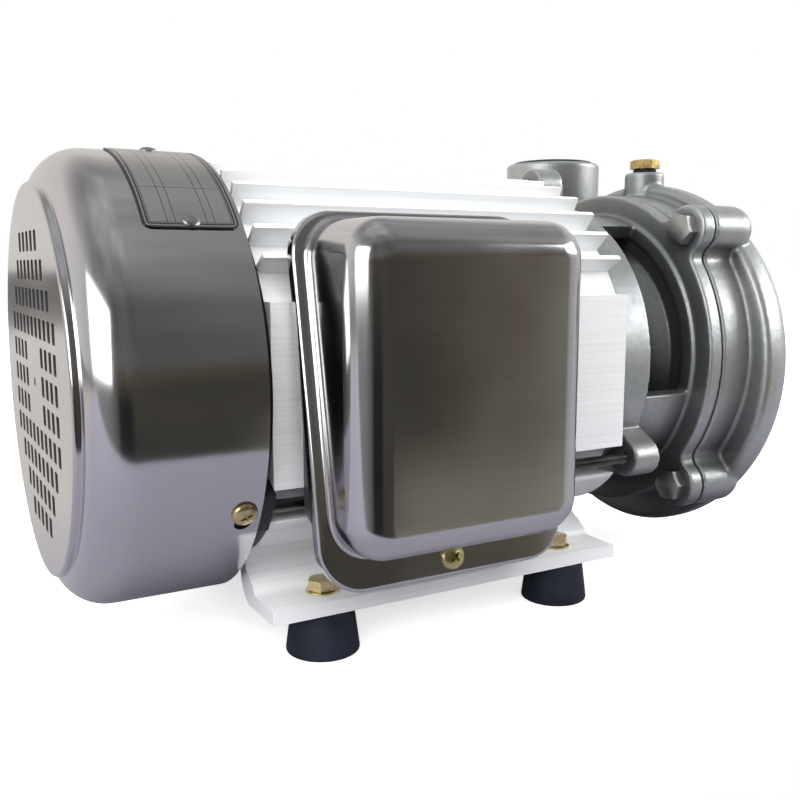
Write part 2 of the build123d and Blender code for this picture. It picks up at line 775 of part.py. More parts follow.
x_bowl = x_plate - bowl_length
with BuildPart() as pump_bracket:
    with BuildSketch(across(x_plate)) as plate_outline:
        flange_outline(0)
        corners = plate_outline.vertices().filter_by(
            lambda v: abs(sqrt(v.X ** 2 + v.Y ** 2) - plate_r) < 0.01)
        fillet(corners, lobe_blend)
    extrude(amount=plate_length)
    with BuildSketch(side):
        band(x_pump_end - spigot_length, x_pump_end + 1, bore_r - spigot_wall, bore_r)
        band(x_pump_end, x_ring_end, ring_r - ring_wall, ring_r)
        band(x_ring_end - 1, x_plate + 1, drum_r - drum_wall, drum_r)
        band(x_pump_end, x_pump_end + bracket_wall, bearing_boss_r - 1, ring_r - ring_wall + 1)
        band(x_front_bearing - 1, x_front_bearing + bearing_width + 4, shoulder_r, bearing_boss_r)
    revolve(axis=shaft)
    with BuildSketch(side):
        with BuildLine():
            Polyline((x_plate + 1, 0), (x_plate + 1, bowl_r))
            Line((x_plate + 1, bowl_r), (x_plate, bowl_r))
            ThreePointArc((x_plate, bowl_r), (x_bowl + 6.5, bowl_r - 14), (x_bowl, bowl_nose_r))
            Polyline((x_bowl, bowl_nose_r), (x_bowl, 0), (x_plate + 1, 0))
        make_face()
    revolve(axis=shaft)
    with BuildSketch(side):
        with BuildLine():
            Polyline((x_joint, 0), (x_joint, bowl_r - bowl_wall), (x_plate, bowl_r - bowl_wall))
            ThreePointArc((x_plate, bowl_r - bowl_wall), (x_bowl + 12.5, bowl_r - 19),
                          (x_seal + seal_seat_length + 2, seal_bore_r + 6))
            Polyline((x_seal + seal_seat_length + 2, seal_bore_r + 6),
                     (x_seal + seal_seat_length, seal_bore_r + 2),
                     (x_seal + seal_seat_length, seal_bore_r), (x_seal, seal_bore_r),
                     (x_seal, nose_r + 3), (x_bowl, nose_r + 3), (x_bowl, 0), (x_joint, 0))
        make_face()
    revolve(axis=shaft, mode=Mode.SUBTRACT)
    with BuildSketch(side):
        band(x_pump_end - spigot_length - 1, x_front_bearing + bearing_width, 0, bearing_r)
    revolve(axis=shaft, mode=Mode.SUBTRACT)
    with BuildSketch(across(x_ring_end + window_ring_margin)):
        reach = 2 * drum_r
        with BuildLine():
            a0 = radians(window_low_angle)
            a1 = radians(window_high_angle)
            Polyline((0, 0), (reach * cos(a0), reach * sin(a0)),
                     (reach * cos((a0 + a1) / 2) * 1.3, reach * sin((a0 + a1) / 2) * 1.3),
                     (reach * cos(a1), reach * sin(a1)), (0, 0))
        make_face()
        mirror(about=Plane.YZ)
        Circle(drum_r + 1, mode=Mode.INTERSECT)
        Circle(drum_r - drum_wall - 1, mode=Mode.SUBTRACT)
    extrude(amount=drum_length - window_ring_margin - window_plate_margin, mode=Mode.SUBTRACT)
    with BuildSketch(across(x_pump_end + tie_lug_gap)):
        with PolarLocations(tie_circle_r, tie_count, tie_first_angle):
            Circle(tie_lug_r)
            with Locations((-(tie_circle_r - drum_r + drum_wall) / 2, 0)):
                Rectangle(tie_circle_r - drum_r + drum_wall, 2 * tie_lug_r)
        Circle(drum_r - drum_wall / 2, mode=Mode.SUBTRACT)
    extrude(amount=tie_lug_length)
    with BuildSketch(across(x_pump_end + tie_lug_gap)):
        with PolarLocations(tie_circle_r, tie_count, tie_first_angle):
            Circle(tie_rod_r)
    extrude(amount=tie_lug_length - 1, mode=Mode.SUBTRACT)
    with BuildSketch(across(x_plate)):
        with PolarLocations(bolt_circle_r, bolt_count, bolt_first_angle):
            Circle(bolt_r + bolt_clearance / 2)
    extrude(amount=plate_length, mode=Mode.SUBTRACT)

with BuildPart() as casing_gasket:
    with BuildSketch(across(x_joint)) as gasket_outline:
        flange_outline(gasket_inset)
        corners = gasket_outline.vertices().filter_by(
            lambda v: abs(sqrt(v.X ** 2 + v.Y ** 2) - plate_r + gasket_inset) < 0.01)
        fillet(corners, lobe_blend)
        Circle(chamber_r, mode=Mode.SUBTRACT)
        with PolarLocations(bolt_circle_r, bolt_count, bolt_first_angle):
            Circle(bolt_r + bolt_clearance / 2, mode=Mode.SUBTRACT)
    extrude(amount=joint_gap)

with BuildPart() as casing_bolts:
    with BuildSketch(across(x_plate)):
        with PolarLocations(bolt_circle_r, bolt_count, bolt_first_angle):
            Circle(bolt_r)
    extrude(amount=plate_length + joint_gap + band_length - 4)
    with BuildSketch(across(x_plate)):
        with PolarLocations(bolt_circle_r, bolt_count, bolt_first_angle):
            hexagon(bolt_flats)
    extrude(amount=-bolt_head_height)

# Casing: the volute's passage first, then the casting around it
with BuildPart() as volute_passage:
    with BuildSketch(across(x_step + casing_wall)):
        with Locations((0, -volute_drop)):
            Circle(volute_r - casing_wall)
    extrude(amount=volute_width - 2 * casing_wall)
    fillet(volute_passage.faces().sort_by(Axis.X)[-1].edges(), volute_round - casing_wall)
    with BuildSketch(across(x_chamber_end)):
        Circle(chamber_r)
    extrude(amount=x_step + casing_wall - x_chamber_end)
    with BuildSketch(across(x_chamber_end)):
        Circle(island_r)
    extrude(amount=volute_width + casing_wall, mode=Mode.SUBTRACT)
    with BuildSketch(across(x_joint)):
        Circle(chamber_r)
    extrude(amount=x_chamber_end - x_joint)

port_plane = Plane(origin=(x_outlet, outlet_y, axis_height), x_dir=(1, 0, 0), z_dir=(0, -1, 0))
port_axis = Axis((x_outlet, outlet_y, 0), (0, 0, 1))
priming_plane = Plane(origin=(x_priming, 0, axis_height), x_dir=(1, 0, 0), z_dir=(0, -1, 0))
with BuildPart() as casing:
    with BuildSketch(across(x_step)):
        with Locations((0, -volute_drop)):
            Circle(volute_r)
    extrude(amount=volute_width)
    fillet(casing.faces().sort_by(Axis.X)[-1].edges(), volute_round)
    fillet(casing.faces().sort_by(Axis.X)[0].edges(), volute_blend)
    with BuildSketch(across(x_casing)) as casing_outline:
        flange_outline(0)
        corners = casing_outline.vertices().filter_by(
            lambda v: abs(sqrt(v.X ** 2 + v.Y ** 2) - plate_r) < 0.01)
        fillet(corners, lobe_blend)
    extrude(amount=boss_length)
    with Locations([across(x_casing + boss_length).location * spot for spot in
                    PolarLocations(bolt_circle_r, bolt_count, bolt_first_angle).locations]):
        Sphere(lobe_r)
    with BuildSketch(side):
        with BuildLine():
            Polyline((x_volute_end - 2, 0), (x_volute_end - 2, island_r),
                     (x_volute_end, island_r), (x_volute_end + suction_cone, port_r),
                     (x_suction - 1, port_r), (x_suction, port_r - 1), (x_suction, 0),
                     (x_volute_end - 2, 0))
        make_face()
    revolve(axis=shaft)
    with BuildSketch(port_plane):
        with BuildLine():
            Polyline((0, 0), (outlet_neck_r, 0), (outlet_neck_r, outlet_height - outlet_head - 12),
                     (port_r, outlet_height - outlet_head), (port_r, outlet_height - 1),
                     (port_r - 1, outlet_height), (0, outlet_height), (0, 0))
        make_face()
    revolve(axis=port_axis)
    with BuildSketch(priming_plane):
        with BuildLine():
            Polyline((0, volute_r / 2), (priming_boss_r, volute_r / 2),
                     (priming_boss_r, priming_height - 0.6),
                     (priming_boss_r - 0.6, priming_height), (0, priming_height),
                     (0, volute_r / 2))
        make_face()
    revolve(axis=Axis((x_priming, 0, 0), (0, 0, 1)))
    add(volute_passage.part, mode=Mode.SUBTRACT)
    with BuildSketch(side):
        band(x_chamber_end - 1, x_suction, 0, suction_bore_r)
        band(x_suction - port_thread_length, x_suction, 0, port_thread_r)
    revolve(axis=shaft, mode=Mode.SUBTRACT)
    with BuildSketch(port_plane):
        with BuildLine():
            Polyline((0, 0), (outlet_bore_r, 0),
                     (outlet_bore_r, outlet_height - cap_seat - port_thread_length),
                     (port_thread_r, outlet_height - cap_seat - port_thread_length),
                     (port_thread_r, outlet_height - cap_seat),
                     (cap_r + cap_fit, outlet_height - cap_seat), (cap_r + cap_fit, outlet_height),
                     (0, outlet_height), (0, 0))
        make_face()
    revolve(axis=port_axis, mode=Mode.SUBTRACT)
    with BuildSketch(Plane(origin=(x_priming, 0, axis_height + priming_height), z_dir=(0, 0, 1))):
        Circle(priming_thread_r + bore_fit)
    extrude(amount=-16, mode=Mode.SUBTRACT)
    with BuildSketch(across(x_casing)):
        with PolarLocations(bolt_circle_r, bolt_count, bolt_first_angle):
            Circle(bolt_r)
    extrude(amount=band_length - 4, mode=Mode.SUBTRACT)

# Outlet cap, priming plug and its washer
with BuildPart() as outlet_cap:
    with BuildSketch(port_plane):
        band(0, cap_r, outlet_height - cap_seat, outlet_height - cap_seat + cap_thick)
    revolve(axis=port_axis)
    fillet(outlet_cap.faces().sort_by(Axis.Z)[-1].edges(), cap_round)

priming_top = axis_height + priming_height
with BuildPart() as priming_plug_washer:
    with BuildSketch(Plane(origin=(x_priming, 0, priming_top), z_dir=(0, 0, 1))):
        Circle(washer_r)
        Circle(priming_thread_r + bore_fit, mode=Mode.SUBTRACT)
    extrude(amount=washer_thick)

with BuildPart() as priming_plug:
    with BuildSketch(Plane(origin=(x_priming, 0, priming_top - priming_thread_length),
                           z_dir=(0, 0, 1))):
        Circle(priming_thread_r)
    extrude(amount=priming_thread_length + washer_thick)
    with BuildSketch(Plane(origin=(x_priming, 0, priming_top + washer_thick), z_dir=(0, 0, 1))):
        hexagon(priming_flats)
    extrude(amount=priming_hex_height)

# Shaft seal: fixed seat, and the head and spring that turn with the shaft
with BuildPart() as shaft_seal_seat:
    with BuildSketch(side):
        band(x_seal, x_seal + seal_seat_length, nose_r + 2, seal_bore_r)
    revolve(axis=shaft)

x_head = x_seal + seal_seat_length + 0.3
with BuildPart() as shaft_seal_head:
    with BuildSketch(side):
        band(x_head, x_head + seal_head_length, nose_r + 1, seal_head_r)
    revolve(axis=shaft)
    chamfer(shaft_seal_head.faces().sort_by(Axis.X)[-1].edges().sort_by(Axis.Z)[-1], 1.5)

x_spring = x_head + seal_head_length + spring_wire_r
spring_length = x_joint - hub_back - x_spring - spring_wire_r
with BuildPart() as shaft_seal_spring:
    with BuildLine() as coil:
        Helix(spring_length / spring_turns, spring_length, spring_r,
              center=(x_spring, 0, axis_height), direction=(1, 0, 0))
    with BuildSketch(Plane(origin=coil.line @ 0, z_dir=coil.line % 0)):
        RegularPolygon(spring_wire_r, 6)
    sweep(is_frenet=True)

with BuildPart() as water_slinger:
    with BuildSketch(side):
        band(x_ring_end + 1, x_ring_end + 1 + slinger_thick, nose_r + 1, slinger_r)
    revolve(axis=shaft)

# Impeller with curved vanes, and its nut
with BuildPart() as impeller:
    with BuildSketch(side):
        band(x_impeller, x_impeller + impeller_plate, nose_r, impeller_r)
        band(x_joint - hub_back, x_joint + hub_front, nose_r, hub_r)
    revolve(axis=shaft)
    with BuildSketch(across(x_impeller + impeller_plate)):
        with BuildLine() as vane_line:
            tip = radians(vane_sweep)
            mid_r = (vane_root_r + impeller_r) / 2
            mid = tip / 2 - vane_bow / mid_r
            ThreePointArc((vane_root_r, 0), (mid_r * cos(mid), mid_r * sin(mid)),
                          ((impeller_r - 2) * cos(tip), (impeller_r - 2) * sin(tip)))
        with PolarLocations(0, vane_count):
            SlotArc(vane_line.edge(), vane_thick)
    extrude(amount=vane_height)
    with BuildSketch(side.offset(-key_width / 2)):
        band(x_joint + 1, x_joint + hub_front - 2, nose_r - 1, nose_r + key_width / 2)
    extrude(amount=key_width, mode=Mode.SUBTRACT)

with BuildPart() as impeller_nut:
    with BuildSketch(across(x_nut)):
        hexagon(nut_flats)
        Circle(stud_r, mode=Mode.SUBTRACT)
    extrude(amount=nut_height)

os.makedirs("parts", exist_ok=True)
pieces = {
    "motor_housing": motor_housing,
    "rubber_feet": rubber_feet,
    "foot_bolts": foot_bolts,
    "rear_end_shield": rear_end_shield,
    "fan_cover": fan_cover,
    "fan_cover_screws": fan_cover_screws,
    "data_plate": data_plate,
    "plate_rivets": plate_rivets,
    "tie_rods": tie_rods,
    "stator_core": stator_core,
    "stator_windings": stator_windings,
    "rotor_core": rotor_core,
    "rotor_cage": rotor_cage,
    "motor_shaft": motor_shaft,
    "impeller_key": impeller_key,
    "rear_bearing_outer": rear_bearing_outer,
    "rear_bearing_inner": rear_bearing_inner,
    "rear_bearing_balls": rear_bearing_balls,
    "front_bearing_outer": front_bearing_outer,
    "front_bearing_inner": front_bearing_inner,
    "front_bearing_balls": front_bearing_balls,
    "cooling_fan": cooling_fan,
    "fan_clip": fan_clip,
    "terminal_box_gasket": terminal_box_gasket,
    "terminal_box_pan": terminal_box_pan,
    "terminal_box_cover": terminal_box_cover,
    "terminal_box_screw": terminal_box_screw,
    "cable_grommet": cable_grommet,
    "run_capacitor": run_capacitor,
    "capacitor_clip": capacitor_clip,
    "terminal_block": terminal_block,
    "terminal_screws": terminal_screws,
    "pump_bracket": pump_bracket,
    "casing_gasket": casing_gasket,
    "casing_bolts": casing_bolts,
    "casing": casing,
    "outlet_cap": outlet_cap,
    "priming_plug_washer": priming_plug_washer,
    "priming_plug": priming_plug,
    "shaft_seal_seat": shaft_seal_seat,
    "shaft_seal_head": shaft_seal_head,
    "shaft_seal_spring": shaft_seal_spring,
    "water_slinger": water_slinger,
    "impeller": impeller,
    "impeller_nut": impeller_nut,
}
# The part's origin goes under the middle of its box, on the floor
origin_x = (x_cover_face + x_suction) / 2
origin_y = (outlet_y + port_r - box_front_y) / 2
for name, piece in pieces.items():
    placed = piece.part.moved(Location((-origin_x, -origin_y, 0)))
    placed.label = name
    export_step(placed, f"parts/{name}.step")
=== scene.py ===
"""Looks of a close-coupled centrifugal pump, built around its packed CAD frame."""

import json
from math import ceil, cos, pi, radians, sin, tan

import bmesh
import bpy
from bpy.props import FloatProperty, FloatVectorProperty, IntProperty, PointerProperty
from mathutils import Matrix, Vector
from mathutils.geometry import tessellate_polygon


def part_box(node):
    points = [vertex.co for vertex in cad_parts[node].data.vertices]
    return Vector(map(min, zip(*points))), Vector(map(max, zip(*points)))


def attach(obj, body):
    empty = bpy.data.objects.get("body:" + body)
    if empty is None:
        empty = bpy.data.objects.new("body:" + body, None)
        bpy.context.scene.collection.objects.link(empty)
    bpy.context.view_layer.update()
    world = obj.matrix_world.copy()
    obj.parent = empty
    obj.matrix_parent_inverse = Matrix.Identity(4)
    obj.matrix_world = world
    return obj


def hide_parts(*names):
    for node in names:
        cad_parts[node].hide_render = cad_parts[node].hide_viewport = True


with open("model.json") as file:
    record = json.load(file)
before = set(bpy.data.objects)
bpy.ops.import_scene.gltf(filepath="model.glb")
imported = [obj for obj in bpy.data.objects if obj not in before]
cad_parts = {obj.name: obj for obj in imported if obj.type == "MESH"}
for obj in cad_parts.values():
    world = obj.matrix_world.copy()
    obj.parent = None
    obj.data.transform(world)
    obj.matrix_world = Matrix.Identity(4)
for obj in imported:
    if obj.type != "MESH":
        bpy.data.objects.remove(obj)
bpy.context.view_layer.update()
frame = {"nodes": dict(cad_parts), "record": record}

bl_info = {
    "name": "Centrifugal pump",
    "version": (1, 0, 0),
    "blender": (4, 5, 0),
    "location": "View3D > Sidebar > Pump",
    "description": "Builds the visible pieces of a close-coupled centrifugal pump",
    "category": "Object",
}

MM = 0.001


def span(node, axis):
    """Lowest and highest place of a CAD node along one axis, in metres."""
    low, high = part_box(node)
    return low[axis], high[axis]


def corners(node):
    """Lowest and highest corner of a CAD node's box."""
    return tuple(Vector(corner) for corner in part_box(node))


def middle(node):
    """Middle of a CAD node's box."""
    low, high = corners(node)
    return (low + high) / 2


SHAFT = middle("motor_shaft")


# Sizes and colours

def length(name, description, default, low=0.0):
    """A size in metres."""
    return FloatProperty(name=name, description=description, default=default, min=low,
                         precision=4, unit="LENGTH", subtype="DISTANCE")


def turn(name, description, default):
    """An angle, shown in degrees."""
    return FloatProperty(name=name, description=description, default=radians(default),
                         unit="ROTATION", subtype="ANGLE")


def colour(name, description, default):
    """A base colour."""
    return FloatVectorProperty(name=name, description=description, default=default, min=0.0,
                               max=1.0, size=3, subtype="COLOR")


class PumpStudio(bpy.types.PropertyGroup):
    """Floor, light and camera."""
    eye: FloatVectorProperty(name="Eye", description="Camera, from the middle of the feet",
                             default=(-0.196, -0.3636, 0.1454), subtype="TRANSLATION",
                             unit="LENGTH", precision=4)
    heading: turn("Heading", "Turn of the view from +Y towards +X", 29.79)
    dip: turn("Dip", "Angle of the view below the horizon", 8.42)
    lens: FloatProperty(name="Lens", description="Focal length on a 36 mm sensor",
                        default=41.06, min=10, unit="CAMERA")
    floor_size: length("Floor", "Width of the floor", 40.0)
    floor_front: length("Floor front", "Floor in front of the terminal box", 84 * MM)
    floor_colour: colour("Floor colour", "Floor in reflections", (0.28, 0.272, 0.322))
    back_colour: colour("Back colour", "Room and floor behind the pump in reflections",
                        (0.80, 0.765, 0.725))
    floor_glow: FloatProperty(name="Floor glow", description="Own light of the floor as seen",
                              default=0.62, min=0.0, max=1.0, subtype="FACTOR")
    room_colour: colour("Room colour", "Light walls and ceiling", (0.62, 0.64, 0.65))


class PumpFinishes(bpy.types.PropertyGroup):
    """Base colours of the finishes."""
    sheet: colour("Polished sheet", "Pressed stainless sheet", (0.66, 0.645, 0.66))
    casting: colour("Casting", "Bead-blasted stainless casting", (0.53, 0.555, 0.55))
    extrusion: colour("Extrusion", "Natural aluminium extrusion", (0.86, 0.87, 0.88))
    fastener: colour("Fastener", "Plain stainless fasteners", (0.47, 0.46, 0.44))
    zinc: colour("Yellow zinc", "Yellow passivated fasteners", (0.80, 0.62, 0.24))
    brass: colour("Brass", "Turned brass", (0.66, 0.46, 0.20))
    rubber: colour("Rubber", "Moulded rubber", (0.012, 0.014, 0.022))
    plastic: colour("Black plastic", "Moulded plastic", (0.018, 0.018, 0.020))
    coated: colour("Coated sheet", "Dark coated sheet steel", (0.030, 0.032, 0.036))


class PumpFanCover(bpy.types.PropertyGroup):
    """Pressed fan cover with its slotted disc."""
    wall: length("Wall", "Sheet thickness", 1.0 * MM)
    shoulder: length("Shoulder", "Radius of the rounded shoulder", 17.0 * MM)
    disc_radius: length("Disc radius", "Radius of the raised disc", 73.4 * MM)
    disc_rise: length("Disc rise", "Height of the raised disc", 2.0 * MM)
    disc_edge: length("Disc edge", "Rounding of the disc's edge", 1.3 * MM)
    slot_width: length("Slot width", "Width of an air slot", 5.2 * MM)
    slot_height: length("Slot height", "Height of an air slot", 7.1 * MM)
    pitch_across: length("Pitch across", "Slot pitch along a row", 9.3 * MM)
    pitch_up: length("Pitch up", "Slot pitch between rows", 10.4 * MM)
    rows: IntProperty(name="Rows", description="Rows of slots", default=11, min=3)
    end_slots: IntProperty(name="End row", description="Slots in an end row", default=5, min=1)
    screw_angle: turn("Screw angle", "Cover screws, from the top", 117.8)
    screw_inset: length("Screw inset", "Screws, in from the rim", 6.2 * MM)
    travel: length("Travel", "Length that the screw slots add", 4.6 * MM)


class PumpPlate(bpy.types.PropertyGroup):
    """Plain plate on the fan cover."""
    start: turn("Start", "First edge, from the top", 7.0)
    stop: turn("Stop", "Last edge, from the top", 50.2)
    corner: length("Corner", "Radius of the corners", 3.0 * MM)
    rivet_inset: turn("Rivet inset", "Rivets, in from the plate's ends", 2.1)
    rivet_radius: length("Rivet radius", "Radius of a rivet's head", 3.1 * MM)
    rivet_rise: length("Rivet rise", "Height of a rivet's head", 1.3 * MM)


class PumpBox(bpy.types.PropertyGroup):
    """Terminal box cover."""
    width: length("Width", "Width of the drawn body", 92.0 * MM)
    top: length("Top", "Top of the body above the shaft", 58.6 * MM)
    bottom: FloatProperty(name="Bottom", description="Bottom of the body, from the shaft",
                          default=-53.0 * MM, unit="LENGTH")
    corner: length("Corner", "Corner radius of the body", 14.0 * MM)
    edge: length("Edge", "Rounding of the front edge", 12.0 * MM)
    sheet: length("Sheet", "Sheet thickness", 1.2 * MM)
    lean: turn("Lean", "Lean of the parting plane", 10.68)
    lid_top: length("Lid top", "Top of the rim above the shaft", 61.7 * MM)
    lid_bottom: FloatProperty(name="Lid bottom", description="Bottom of the rim, from the shaft",
                              default=-66.0 * MM, unit="LENGTH")
    lid_reach: length("Lid reach", "Rim's top, out from the shaft", 77.1 * MM)
    lid_width: length("Lid width", "Width of the rim", 101.4 * MM)
    lid_corner: length("Lid corner", "Corner radius of the rim", 16.0 * MM)
    lip: length("Lip", "Depth of the turned-back rim", 3.5 * MM)


class PumpFasteners(bpy.types.PropertyGroup):
    """Screws, bolts, rods and feet."""
    pan_radius: length("Pan radius", "Radius of a pan head", 4.6 * MM)
    pan_rise: length("Pan rise", "Height of a pan head", 2.6 * MM)
    screw_radius: length("Screw radius", "Radius of a cover screw", 2.0 * MM)
    rod_radius: length("Rod radius", "Radius of a tie rod", 2.4 * MM)
    rod_circle: length("Rod circle", "Radius of the tie rods' circle", 81.5 * MM)
    rod_pitch: length("Rod pitch", "Thread pitch of a tie rod", 0.8 * MM)
    rod_thread: length("Rod thread", "Length of a tie rod's thread", 54.5 * MM)
    bolt_circle: length("Bolt circle", "Radius of the casing bolts' circle", 84.5 * MM)
    bolt_flats: length("Bolt flats", "Width across a casing bolt's flats", 13.0 * MM)
    bolt_head: length("Bolt head", "Height of a casing bolt's head", 5.5 * MM)
    bolt_radius: length("Bolt radius", "Radius of a casing bolt", 4.0 * MM)
    foot_pitch_x: length("Foot pitch X", "Pitch of the feet along the shaft", 112.5 * MM)
    foot_pitch_y: length("Foot pitch Y", "Pitch of the feet across", 120.0 * MM)
    foot_base: length("Foot base", "Radius of a foot's base", 14.3 * MM)
    foot_top: length("Foot top", "Radius of a foot's top", 12.0 * MM)
    nut_flats: length("Nut flats", "Width across a foot nut's flats", 10.0 * MM)
    plug_flats: length("Plug flats", "Width across the plug's flats", 13.0 * MM)


# Shader nodes

def tinted(base, factor):
    """A colour made lighter or darker."""
    return tuple(min(1.0, c * factor) for c in base)


class Signal:
    """A node's output. Python's operators on it add Math nodes."""

    def __init__(self, tree, socket):
        self.tree = tree
        self.socket = socket

    def math(self, operation, *values):
        return self.tree.node("ShaderNodeMath", {"operation": operation},
                              dict(enumerate((self,) + values)))

    def __add__(self, other):
        return self.math("ADD", other)

    __radd__ = __add__

    def __sub__(self, other):
        return self.math("SUBTRACT", other)

    def __rsub__(self, other):
        return self.tree.node("ShaderNodeMath", {"operation": "SUBTRACT"}, {0: other, 1: self})

    def __mul__(self, other):
        return self.math("MULTIPLY", other)

    __rmul__ = __mul__

    def __truediv__(self, other):
        return self.math("DIVIDE", other)

    def __gt__(self, other):
        return self.math("GREATER_THAN", other)

    def __lt__(self, other):
        return self.math("LESS_THAN", other)

    def __abs__(self):
        return self.math("ABSOLUTE")

    def clamped(self):
        return self.tree.node("ShaderNodeClamp", {}, {0: self})


def finish_name(slot):
    """Name of the material that finishes a slot."""
    return slot + "_finish"


class Shading:
    """A node tree: node() adds a node and returns its first output, or a named one."""

    def __init__(self, tree):
        self.tree = tree

    def fill(self, socket, value):
        if isinstance(value, Signal):
            self.tree.links.new(value.socket, socket)
        elif socket.type == "RGBA" and len(value) == 3:
            socket.default_value = (*value, 1.0)
        else:
            socket.default_value = value

    def node(self, kind, settings=None, values=None, output=0):
        node = self.tree.nodes.new(kind)
        for key, value in (settings or {}).items():
            if key == "stops":
                for index, (place, tint) in enumerate(value):
                    stops = node.color_ramp.elements
                    stop = stops[index] if index < len(stops) else stops.new(place)
                    stop.position = place
                    stop.color = (*tint, 1.0)
            else:
                setattr(node, key, value)
        for key, value in (values or {}).items():
            self.fill(node.inputs[key], value)
        return None if output is None else Signal(self, node.outputs[output])

    def blend(self, factor, first, second):
        """Colour from first to second as factor goes from 0 to 1."""
        return self.node("ShaderNodeMix", {"data_type": "RGBA"},
                         {0: factor, 6: first, 7: second}, output=2)

    def spread(self, signal, low, high, to_low=0.0, to_high=1.0):
        """Maps low..high onto to_low..to_high, clamped."""
        return self.node("ShaderNodeMapRange", {"clamp": True},
                         {"Value": signal, "From Min": low, "From Max": high,
                          "To Min": to_low, "To Max": to_high})

    def ramp(self, signal, stops):
        """Colour that passes through stops (place, colour) as signal goes from 0 to 1."""
        return self.node("ShaderNodeValToRGB", {"stops": stops}, {0: signal})

    def seen(self):
        """1 on what the camera sees itself, 0 in reflections and in the light cast."""
        return self.node("ShaderNodeLightPath", output="Is Camera Ray")


class Finish(Shading):
    """A material of one surface shader, whose sockets set() fills."""

    def __init__(self, name, **constants):
        self.material = bpy.data.materials.new(finish_name(name))
        self.material.use_nodes = True
        super().__init__(self.material.node_tree)
        self.shader = next(n for n in self.tree.nodes if n.type == "BSDF_PRINCIPLED")
        for socket, value in constants.items():
            self.set(socket.replace("_", " "), value)

    def set(self, socket, value):
        """Sets or links one socket of the surface shader."""
        self.fill(self.shader.inputs[socket], value)

    def place(self):
        """Place in the object, in metres."""
        return self.node("ShaderNodeTexCoord", output="Object")

    def stretched(self, scale):
        """Place times a factor for each axis."""
        return self.node("ShaderNodeVectorMath", {"operation": "MULTIPLY"},
                         {0: self.place(), 1: scale})

    def noise(self, scale, stretch=(1, 1, 1), detail=3.0, roughness=0.5):
        """Noise from 0 to 1; scale is in features per metre."""
        return self.node("ShaderNodeTexNoise", {"noise_dimensions": "3D"},
                         {"Vector": self.stretched(stretch), "Scale": scale, "Detail": detail,
                          "Roughness": roughness})

    def pits(self, scale, size):
        """1 inside sparse round pits, falling to 0 at their edges."""
        distance = self.node("ShaderNodeTexVoronoi", {"feature": "F1"},
                             {"Vector": self.place(), "Scale": scale})
        return (1 - distance / size).clamped()

    def edges(self, low=0.52, high=0.60):
        """1 on worn outer edges of a dense mesh."""
        pointed = self.node("ShaderNodeNewGeometry", output="Pointiness")
        return self.spread(pointed, low, high)

    def hollows(self, low=0.49, high=0.42):
        """1 in inner corners of a dense mesh, where the casting's colour is darkened as painted
        shade.
        """
        pointed = self.node("ShaderNodeNewGeometry", output="Pointiness")
        return self.spread(pointed, low, high)

    def shade(self, reach):
        """0 in crevices, 1 in the open."""
        return self.node("ShaderNodeAmbientOcclusion", {"samples": 8}, {"Distance": reach},
                         output="AO")

    def bump(self, height, distance, strength=1.0):
        """Bump on the surface, height 1 being this many metres."""
        if self.shader.inputs["Normal"].is_linked:
            before = Signal(self, self.shader.inputs["Normal"].links[0].from_socket)
        else:
            before = None
        values = {"Height": height, "Distance": distance, "Strength": strength}
        if before:
            values["Normal"] = before
        self.set("Normal", self.node("ShaderNodeBump", {}, values))


def worn_metal(name, base, rough, grain=(1, 1, 1), grain_scale=600.0, grain_depth=0.004 * MM,
               cloud=25.0, contrast=0.12, metallic=1.0, **constants):
    """Metal with cloudy colour, uneven gloss and a fine grain that may be drawn out one way."""
    skin = Finish(name, Metallic=metallic, **constants)
    clouds = skin.noise(cloud, detail=4)
    fine = skin.noise(grain_scale, grain, detail=2)
    tone = skin.spread(clouds * 0.7 + fine * 0.3, 0.35, 0.65)
    skin.set("Base Color",
             skin.blend(tone, tinted(base, 1 - contrast), tinted(base, 1 + contrast)))
    skin.set("Roughness", skin.spread(clouds, 0.3, 0.7, rough[0], rough[1]))
    skin.bump(fine, grain_depth)
    return skin


